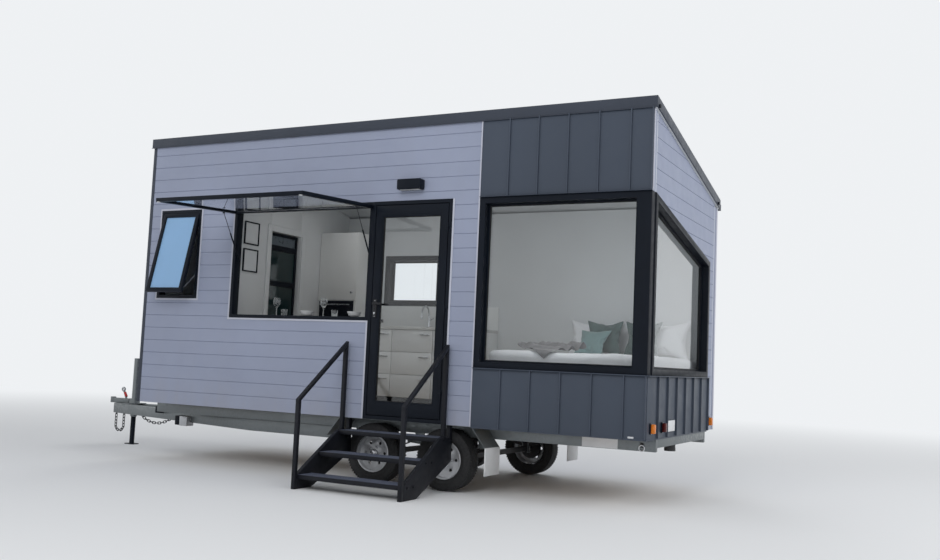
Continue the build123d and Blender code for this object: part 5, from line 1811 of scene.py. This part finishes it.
@dataclass
class Trailer(Assembly):
    """The galvanised trailer: rails, drawbar, coupling, jack, chains and springs.

    Attributes:
        eye: Height of a spring eye over the foot of its hanger plate.
        leg: Radius of the U-bolts.
        pad: How far the U-bolts stand from the axle's middle.
        nut: The eye bolts' width across.
        jack_cap: The jack's cap, as heights and radii.
        jack_clamp: The clamp round the jack's tube, as heights and radii.
        boxes: The drawbar's small boxes: whether bright, two corners and the eased edges' width.
        drain: The drain stub, as heights and radii.
    """

    eye: float = 0.014
    leg: float = 0.005
    pad: float = 0.034
    nut: float = 0.024
    jack_cap: Profile = ((0.0, 0.0), (0.0, 0.034), (0.012, 0.036), (0.022, 0.03), (0.026, 0.0))
    jack_clamp: Profile = ((0.0, 0.038), (0.0, 0.043), (0.03, 0.043), (0.03, 0.038), (0.0, 0.038))
    boxes: tuple[tuple[bool, Point, Point, float], ...] = (
        (False, (-2.61, 0.06, 0.468), (-2.522, 0.15, 0.549), 0.006),
        (False, (-2.135, -0.09, 0.36), (-2.06, 0.02, 0.47), 0.006),
        (True, (-2.055, -0.10, 0.355), (-1.94, 0.02, 0.467), 0.005),
    )
    drain: Profile = (
        (0.0, 0.049), (0.0, 0.055), (0.03, 0.055), (0.03, 0.0525), (0.164, 0.0525), (0.164, 0.0),
        (0.02, 0.0), (0.02, 0.049), (0.0, 0.049),
    )

    def build(self) -> None:
        """Makes the trailer's pieces."""
        for node, edge in (
            ("chassis_rails", 0.005), ("cross_members", 0.003), ("drawbar", 0.005), ("coupling", 0.003),
            ("jack_tube", 0.0015), ("spring_hangers", 0.0012),
        ):
            self.bench.refit(node, GALV_AND_SHADE, "galvanised", edge)
        self.bench.refit("mud_flaps", FLAP, "flap_white", 0.0015)
        self.bench.refit("jack_leg", JOINERY, "jack_black", 0.002)
        self.bench.refit("leaf_springs", AXLE, "axle_black", 0.001)
        self.bench.refit("axles", AXLE, "axle_black", 0.003)
        self.chains()
        self.eye_bolts()
        self.u_bolts()
        self.hitch()
        self.rail_fittings()

    def chains(self) -> None:
        """Rounds the chains' links."""
        links = self.bench.merged("safety_chains")
        bmesh.ops.join_triangles(
            links.bm, faces=links.bm.faces, angle_face_threshold=radians(40),
            angle_shape_threshold=radians(60),
        )
        piece = links.finish("safety_chains_dressed", CHAIN, "chain_steel", replaces=("safety_chains",))
        piece.data.shade_smooth()
        round_off(piece)

    def eye_bolts(self) -> None:
        """Bolts the spring eyes and the rockers through their plates."""
        bolts = Form()
        springs = [(low.y + high.y) / 2 for low, high in self.bench.islands("leaf_springs")]
        for low, high in self.bench.islands("spring_hangers"):
            if high.y - low.y > 0.01:
                continue
            middle = (low + high) / 2
            spring = min(springs, key=lambda y: abs(y - middle.y))
            face, out = (high.y, REAR) if middle.y > spring else (low.y, -REAR)
            wide = high.x - low.x > 0.15
            places = (low.x + 0.02, middle.x, high.x - 0.02) if wide else (middle.x,)
            height = middle.z if wide else low.z + self.eye
            for x in places:
                bolts.stud((x, face, height), out, self.nut)
        bolts.finish("eye_bolts", GALV_AND_SHADE, "galvanised")

    def u_bolts(self) -> None:
        """Clamps each spring to its axle with two U-bolts on a plate."""
        bench, leg = self.bench, self.leg
        clamps, plates = Form(), Form()
        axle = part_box("axles")[0].z
        foot = axle - 0.016
        for low, high in bench.islands("leaf_springs"):
            x, y = (low.x + high.x) / 2, (low.y + high.y) / 2
            top = self.pack_top(x) + leg
            half = (high.y - low.y) / 2 + leg
            for bolt in (x - self.pad, x + self.pad):
                for edge in (y - half, y + half):
                    clamps.rod((bolt, edge, foot), (bolt, edge, top), leg, 12)
                    clamps.stud((bolt, edge, foot + 0.008), -UP, 0.016)
                clamps.rod((bolt, y - half - leg, top), (bolt, y + half + leg, top), leg, 12)
            wide, deep = self.pad + 0.014, half + 0.012
            corner = (x + wide, y + deep, axle - 0.0005)
            plates.block((x - wide, y - deep, axle - 0.007), corner, 0.001)
        clamps.finish("u_bolts", GALV_AND_SHADE, "galvanised")
        plates.finish("spring_plates", AXLE, "axle_black")

    def pack_top(self, x: float) -> float:
        """Height of the spring pack's top over an axle.

        Args:
            x: The axle's place along the house.

        Returns:
            The height.
        """
        springs = self.bench.copy("leaf_springs").bm
        top = max(vert.co.z for vert in springs.verts if abs(vert.co.x - x) < 0.09)
        springs.free()
        return top

    def hitch(self) -> None:
        """Adds the coupling's lever and ring, the jack's clamp and the small boxes on the drawbar."""
        low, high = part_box("coupling")
        middle = (low.y + high.y) / 2
        steel, bright, red, black = Form(), Form(), Form(), Form()
        ring = Vector((low.x + 0.21, middle, high.z - 0.0305))
        foot = Vector((low.x + 0.285, middle, high.z - 0.148))
        for side in (-0.008, 0.008):
            bright.hoop(ring + REAR * side, REAR, 0.022, 0.006)
        red.rod(ring.lerp(foot, 0.34), ring.lerp(foot, 0.80), 0.017)
        for x in (low.x + 0.24, low.x + 0.31):
            for y in (low.y + 0.012, high.y - 0.012):
                steel.stud((x, y, low.z + 0.008), UP, 0.02)
        tube_low, tube_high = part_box("jack_tube")
        x = (tube_low.x + tube_high.x) / 2
        steel.turned(self.jack_cap, (x, middle, tube_high.z - 0.028), steps=24)
        steel.turned(self.jack_clamp, (x, middle, tube_low.z + 0.01), steps=32)
        for shines, corner, opposite, edge in self.boxes:
            (bright if shines else black).block(corner, opposite, edge)
        steel.finish("hitch_fittings", GALV_AND_SHADE, "galvanised")
        bright.finish("hitch_bright_fittings", RIM, "galvanised")
        red.finish("hitch_lever_grip", GRIP, "galvanised")
        black.finish("drawbar_box", JOINERY, "jack_black")

    def rail_fittings(self) -> None:
        """Adds the plate, the tie-down rings with their hook and the drain stub at the glazed end."""
        low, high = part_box("chassis_rails")
        face, front, foot = low.y, self.lines.front, self.lines.foot
        plates, rings, hooks, stub = Form(), Form(), Form(), Form()
        plates.block((3.121, face - 0.002, low.z + 0.004), (3.466, face, high.z - 0.006), 0.0008)
        corner = (3.718, front - 0.004, foot + 0.021)
        rings.block((3.662, front - 0.011, foot + 0.003), corner, 0.0045)
        hook = Vector((3.695, face - 0.008, low.z + 0.04))
        corner = hook + Vector((0.015, 0.008, 0.036))
        hooks.block(hook + Vector((-0.015, 0.0, -0.006)), corner, 0.002)
        rings.hoop(hook + Vector((0, -0.002, -0.012)), REAR, 0.026, 0.006)
        stub.turned(self.drain, (high.x - 0.1, front + 1.13, foot - 0.164), steps=40)
        plates.finish("rail_plates", FLAP, "galvanised")
        rings.finish("tie_down_rings", STEEL, "galvanised")
        hooks.finish("tie_down_hook", AXLE, "galvanised")
        stub.finish("drain_stub", AXLE, "axle_black")


@dataclass
class Wheels(Assembly):
    """Four road wheels: grooved tyres on dished rims, with nuts, hub caps and drums.

    Attributes:
        grooves: How far each tread groove lies from the tyre's middle.
        groove: The grooves' width and depth.
        bead: The bead's radius as a share of the tyre's.
        lugs: Shoulder lugs round each edge.
        nuts: Wheel nuts on each rim.
        circle: Radius of the circle of nuts.
        dish: How far the nuts' disc lies inside the rim's lip.
        nut: A wheel nut: how far each of its parts starts and ends, its radius and its sides.
        cap: The hub cap and its cup, as distances out and radii.
        drum: The brake drum and its back plate.
    """

    grooves: tuple[float, ...] = (-0.045, -0.015, 0.015, 0.045)
    groove: float = 0.007
    bead: float = 0.632
    lugs: int = 64
    nuts: int = 5
    circle: float = 0.062
    dish: float = 0.0518
    nut: tuple[tuple[float, float, float, int], ...] = (
        (0.0, 0.004, 0.0145, 16), (0.003, 0.017, 0.0115, 6), (0.016, 0.021, 0.006, 12),
    )
    cap: Profile = (
        (0.023, 0.0), (0.023, 0.034), (0.02, 0.034), (0.02, 0.0375), (0.030, 0.0375),
        (0.034, 0.031), (0.046, 0.029), (0.0495, 0.022), (0.0505, 0.0),
    )
    drum: Profile = (
        (-0.0085, 0.02), (-0.0085, 0.105), (-0.014, 0.112), (-0.052, 0.112),
        (-0.054, 0.118), (-0.06, 0.118), (-0.06, 0.02), (-0.0085, 0.02),
    )

    def build(self) -> None:
        """Makes the four wheels."""
        for side, out in (("near", -REAR), ("far", REAR)):
            for place in ("front", "rear"):
                self.tyre(f"{side}_{place}")
                self.rim(f"{side}_{place}", out)

    def section(self, half: float, radius: float) -> Outline:
        """A tyre's section: sidewalls, grooved tread and the closed inside.

        Args:
            half: Half the tyre's width.
            radius: Its radius.

        Returns:
            Points as distances from its middle and radii.
        """
        bead = radius * self.bead
        right = [
            (half - 0.013, bead), (half - 0.004, bead + 0.012), (half - 0.001, bead + 0.03),
            (half + 0.0005, bead + 0.034), (half + 0.0005, bead + 0.039), (half - 0.0005, bead + 0.042),
            (half - 0.001, radius - 0.038), (half - 0.006, radius - 0.018), (half - 0.016, radius - 0.004),
        ]
        tread = [(half - 0.024, radius - 0.0012)]
        for line in reversed(self.grooves):
            for along, rise in ((0.5, 0.0), (0.35, 1.0), (-0.35, 1.0), (-0.5, 0.0)):
                tread.append((line + along * self.groove, radius - rise * self.groove))
        tread.append((-half + 0.024, radius - 0.0012))
        left = [(-along, size) for along, size in reversed(right)]
        inside = [(-half + 0.03, bead + 0.002), (half - 0.03, bead + 0.002), right[0]]
        return right + tread + left + inside

    def tyre(self, name: str) -> None:
        """Makes a tyre.

        Args:
            name: Which wheel it is on.
        """
        low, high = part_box(f"tyre_{name}")
        middle = (low + high) / 2
        radius, half = (high.z - low.z) / 2, (high.y - low.y) / 2
        tyre = Form()
        tyre.turned(self.section(half, radius), middle, REAR, 96)
        size = Matrix.Diagonal((0.0135, 0.019, 0.018, 1.0))
        for index in range(self.lugs):
            for side in (-1.0, 1.0):
                turn = Matrix.Rotation(2 * pi * (index + 0.25 * side) / self.lugs, 4, "Y")
                shift = Matrix.Translation((0.0, side * (half - 0.016), radius - 0.0105))
                place = Matrix.Translation(middle) @ turn @ shift @ size
                bmesh.ops.create_cube(tyre.bm, size=1.0, matrix=place)
        wheel = f"wheel_{name}"
        tyre.finish(f"tyre_{name}_dressed", RUBBER, "tyre_rubber", wheel, (f"tyre_{name}",))

    def rim(self, name: str, axis: Vector) -> None:
        """Dresses a rim and adds its nuts, cap, valve and drum.

        Args:
            name: Which wheel it is on.
            axis: The direction it faces.
        """
        bench, body = self.bench, f"wheel_{name}"
        bench.refit(f"rim_{name}", RIM, "rim_silver", 0.0015, body)
        low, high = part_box(f"rim_{name}")
        tyre_low, tyre_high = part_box(f"tyre_{name}")
        disc = (tyre_low + tyre_high) / 2
        disc.y = (high.y if axis.y > 0 else low.y) - axis.y * self.dish
        nuts, drum = Form(), Form()
        for index in range(self.nuts):
            angle = 2 * pi * index / self.nuts
            place = disc + Vector((cos(angle), 0.0, sin(angle))) * self.circle
            for start, end, radius, sides in self.nut:
                nuts.rod(place + axis * start, place + axis * end, radius, sides)
        nuts.turned(self.cap, disc, axis, 32)
        nuts.finish(f"wheel_nuts_{name}", STEEL, "rim_silver", body)
        drum.turned(self.drum, disc, axis, 48)
        valve = disc + Vector((cos(0.6), 0.0, sin(0.6))) * 0.162
        drum.rod(valve, valve + axis * 0.022, 0.0035, 10)
        drum.finish(f"brake_drum_{name}", AXLE, "axle_black", body)


@dataclass
class Steps(Assembly):
    """The entry steps: ribbed treads, stringers and handrails.

    Attributes:
        ribs: Grip ribs on each tread.
        rib: The ribs' width.
        rise: How far they stand up.
        foot_plate: How far the posts' foot plates reach past them.
    """

    ribs: int = 9
    rib: float = 0.009
    rise: float = 0.0025
    foot_plate: float = 0.02

    def build(self) -> None:
        """Makes the steps' pieces."""
        bench = self.bench
        for node, edge in (
            ("step_treads", 0.003), ("step_stringers", 0.002),
            ("handrail_posts", 0.004), ("handrails", 0.004),
        ):
            bench.refit(node, STEP_COAT, "step_black", edge)
        ribs, bolts = Form(), Form()
        left, right = (box.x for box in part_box("step_stringers"))
        for low, high in bench.islands("step_treads"):
            foot, top = high.z - 0.001, high.z + 0.001
            ribs.block((low.x + 0.004, low.y + 0.010, foot), (high.x - 0.004, high.y - 0.004, top))
            space = (high.y - low.y - 0.03) / (self.ribs - 1)
            for index in range(self.ribs):
                y = low.y + 0.015 + index * space
                corner = (high.x - 0.012, y + self.rib / 2, high.z + self.rise)
                ribs.block((low.x + 0.012, y - self.rib / 2, foot), corner, 0.001)
            for y in (low.y + 0.06, high.y - 0.06):
                for x, out in ((left, -ALONG), (right, ALONG)):
                    bolts.stud((x, y, high.z - 0.02), out, 0.016)
        for low, high in bench.islands("handrail_posts"):
            if low.z > 0.1:
                corner = (high.x, high.y + self.foot_plate, low.z + 0.006)
                bolts.block((low.x, low.y - self.foot_plate, low.z), corner, 0.001)
        # The tread tops and ribs carry painted sky light, lighter and bluer than the steps' black coat.
        ribs.finish("tread_ribs", TREAD_AND_SKY_LIGHT, "step_black")
        bolts.finish("step_bolts", STEP_COAT, "step_black")


@dataclass
class Lamps(Assembly):
    """Marker lamps and a bare plate at the glazed end.

    Attributes:
        base: The thickness of a lamp's base.
        plate: The plate's length and height.
        plate_place: Where its low corner is, from the near face and over the walls' foot.
    """

    base: float = 0.014
    plate: tuple[float, float] = (0.22, 0.1)
    plate_place: tuple[float, float] = (0.6, 0.05)

    def build(self) -> None:
        """Makes the lamps and the plate."""
        bases, screws = Form(), Form()
        amber, red = Form(), Form()
        for lens, (low, high) in zip((amber, red, amber), self.bench.islands("tail_lights")):
            split = low.x + self.base
            bases.block(low, (split, high.y, high.z), 0.003)
            corner = (high.x, high.y - 0.004, high.z - 0.006)
            lens.block((split - 0.001, low.y + 0.004, low.z + 0.006), corner, 0.009)
            for z in (low.z + 0.003, high.z - 0.003):
                screws.stud((split, (low.y + high.y) / 2, z), ALONG, 0.005)
        bases.finish("lamp_bases", JOINERY, "light_black", replaces=("tail_lights",))
        screws.finish("lamp_screws", STEEL, "light_black")
        amber.finish("amber_lens_lenses", AMBER, "amber_lens")
        red.finish("red_lens_lenses", RED, "amber_lens")
        self.bare_plate()

    def bare_plate(self) -> None:
        """Screws a plate without lettering to the end cladding."""
        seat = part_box("end_cladding")[1].x
        face = seat + 0.003
        y, z = self.lines.front + self.plate_place[0], self.lines.foot + self.plate_place[1]
        plate = Form()
        plate.block((seat, y, z), (face, y + self.plate[0], z + self.plate[1]), 0.0012)
        for side in (0.02, self.plate[0] - 0.02):
            plate.stud((face, y + side, z + self.plate[1] / 2), ALONG, 0.007)
        plate.finish("bare_plate", FLAP, "flap_white")


@dataclass
class Studio:
    """A pale floor, soft lamps and the camera at the photograph's place.

    Attributes:
        eye: Where the camera stands.
        yaw: Its turn from +Y towards +X, in degrees.
        pitch: Its tilt above the level, in degrees.
        roll: Its roll, in degrees.
        lens: Its focal length in millimetres on a 36 mm sensor.
        backdrop: The colour seen behind everything.
        ground: The floor's colour.
        ambient: The strength with which the surroundings light the object.
        reach: The floor's radius.
        lamps: Each lamp's name, place, aim, side and power in watts.
    """

    eye: Point = (6.3648, -8.9966, 1.2369)
    yaw: float = -27.40792
    pitch: float = 4.87118
    roll: float = 2.51814
    lens: float = 37.575
    backdrop: Colour = (0.86, 0.88, 0.90)
    ground: Colour = (0.84, 0.85, 0.86)
    ambient: float = 0.5
    reach: float = 70.0
    lamps: tuple[tuple[str, Point, Point, float, float], ...] = (
        ("key_lamp", (3.0, -12.0, 9.0), (1.0, 0.0, 2.0), 7.0, 620.0),
        ("side_lamp", (13.0, 1.0, 7.0), (1.0, 0.0, 2.0), 6.0, 420.0),
        ("back_lamp", (-4.0, 12.0, 9.0), (1.0, 0.0, 2.0), 6.0, 300.0),
        ("bed_lamp", (2.9, -0.42, 2.7), (2.95, 0.55, 1.3), 0.6, 11.0),
        ("kitchen_lamp", (0.2, 0.35, 3.2), (0.2, 0.4, 1.0), 1.1, 4.5),
    )

    def build(self) -> None:
        """Sets up the whole studio."""
        self.camera()
        self.world()
        self.floor()
        for lamp in self.lamps:
            self.lamp(*lamp)
        bpy.context.scene.view_settings.view_transform = "Standard"

    def camera(self) -> None:
        """Places the camera and makes it the scene's."""
        turn = Matrix.Rotation(radians(-self.yaw), 4, "Z")
        turn @= Matrix.Rotation(radians(90.0 + self.pitch), 4, "X")
        turn @= Matrix.Rotation(radians(self.roll), 4, "Z")
        data = bpy.data.cameras.new("photo_camera")
        data.lens, data.sensor_width, data.clip_end = self.lens, 36.0, 400.0
        camera = bpy.data.objects.new("photo_camera", data)
        camera.matrix_world = Matrix.Translation(self.eye) @ turn
        bpy.context.scene.collection.objects.link(camera)
        bpy.context.scene.camera = camera

    def lamp(self, name: str, place: Point, aim: Point, size: float, power: float) -> None:
        """Adds a square soft lamp.

        Args:
            name: The lamp's name.
            place: Where it hangs.
            aim: The point it looks at.
            size: The length of its side.
            power: Its power in watts.
        """
        data = bpy.data.lights.new(name, "AREA")
        data.size, data.energy = size, power
        light = bpy.data.objects.new(name, data)
        light.location = place
        light.rotation_euler = (Vector(aim) - Vector(place)).to_track_quat("-Z", "Y").to_euler()
        light.visible_camera = light.visible_glossy = light.visible_transmission = False
        bpy.context.scene.collection.objects.link(light)

    def world(self) -> None:
        """Makes a pale surrounding that lights evenly, and shows brighter than it lights."""
        world = bpy.data.worlds.new("pale_surrounding")
        world.use_nodes = True
        bpy.context.scene.world = world
        world.node_tree.nodes.clear()
        tree = Tree(world.node_tree)
        rays = tree.add("ShaderNodeLightPath").outputs
        mirrored = {0: rays["Is Glossy Ray"], 1: rays["Is Transmission Ray"]}
        behind = tree.add("ShaderNodeMath", mirrored, operation="MAXIMUM").outputs[0]
        seen = tree.add("ShaderNodeMath", {0: rays["Is Camera Ray"], 1: behind}, operation="MAXIMUM")
        lights = tree.add(
            "ShaderNodeBackground", {"Color": (0.95, 0.97, 1.0, 1.0), "Strength": self.ambient}
        )
        shown = tree.add("ShaderNodeBackground", {"Color": (*self.backdrop, 1.0)})
        both = tree.add(
            "ShaderNodeMixShader", {0: seen.outputs[0], 1: lights.outputs[0], 2: shown.outputs[0]}
        )
        tree.add("ShaderNodeOutputWorld", {"Surface": both.outputs[0]})

    def floor(self) -> None:
        """Lays a pale floor that fades into the backdrop far away."""
        bm = bmesh.new()
        bmesh.ops.create_circle(bm, cap_ends=True, radius=self.reach, segments=96)
        mesh = bpy.data.meshes.new("studio_floor")
        bm.to_mesh(mesh)
        bm.free()
        graph = Graph("studio_floor")
        graph.set(Base_Color=(*self.ground, 1.0), Roughness=0.9, Specular_IOR_Level=0.1)
        away = graph.add("ShaderNodeVectorMath", {0: graph.place}, operation="LENGTH").outputs["Value"]
        span = {"Value": away, "From Min": 4.5, "From Max": 20.0}
        fade = graph.add("ShaderNodeMapRange", span, interpolation_type="SMOOTHSTEP").outputs["Result"]
        glow = graph.add("ShaderNodeEmission", {"Color": (*self.backdrop, 1.0)}).outputs["Emission"]
        both = graph.add("ShaderNodeMixShader", {0: fade, 1: graph.shader.outputs["BSDF"], 2: glow})
        graph.feed(graph.tree.nodes["Material Output"].inputs["Surface"], both.outputs["Shader"])
        mesh.materials.append(graph.material)
        floor = bpy.data.objects.new("studio_floor", mesh)
        bpy.context.scene.collection.objects.link(floor)


def main() -> None:
    """Builds the house piece by piece round its solid model."""
    logging.basicConfig(level=logging.INFO, format="%(message)s")
    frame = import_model()
    bench = Bench(frame["nodes"])
    lines = Datum()
    Studio().build()
    coats = {
        "boarding": BOARD_AND_SHADE, "floor_timber": FLOORING, "ceiling_white": CEILING, "roof_grey": ROOFING,
        "cladding_grey": PAN_AND_SKY_REFLECTION, "joinery_black": JOINERY, "frosted_glass": FROSTED,
        "clear_glass": CLEAR, "strut_steel": STEEL, "handle_black": JOINERY,
        "light_black": JOINERY, "lining_white": LINING, "inner_dark": INNER_DARK,
        "unit_white": UNIT, "bed_timber": BED_TIMBER, "bed_linen": LINEN, "galvanised": GALV_AND_SHADE,
        "chain_steel": CHAIN, "axle_black": AXLE, "jack_black": JOINERY, "flap_white": FLAP,
        "step_black": STEP_COAT, "amber_lens": AMBER, "tyre_rubber": RUBBER, "rim_silver": RIM,
    }
    slots = {entry["node"]: entry["material_slot"] for entry in frame["record"]["subparts"]}
    for node in bench.nodes:
        bench.coat(node, coats[slots[node]])
    for assembly in (
        Walls, Roof, Cladding, Glazing, Entry, Interior, Bedding, Table, Trailer, Wheels, Steps, Lamps,
    ):
        assembly(bench, lines).build()


if __name__ == "__main__":
    main()
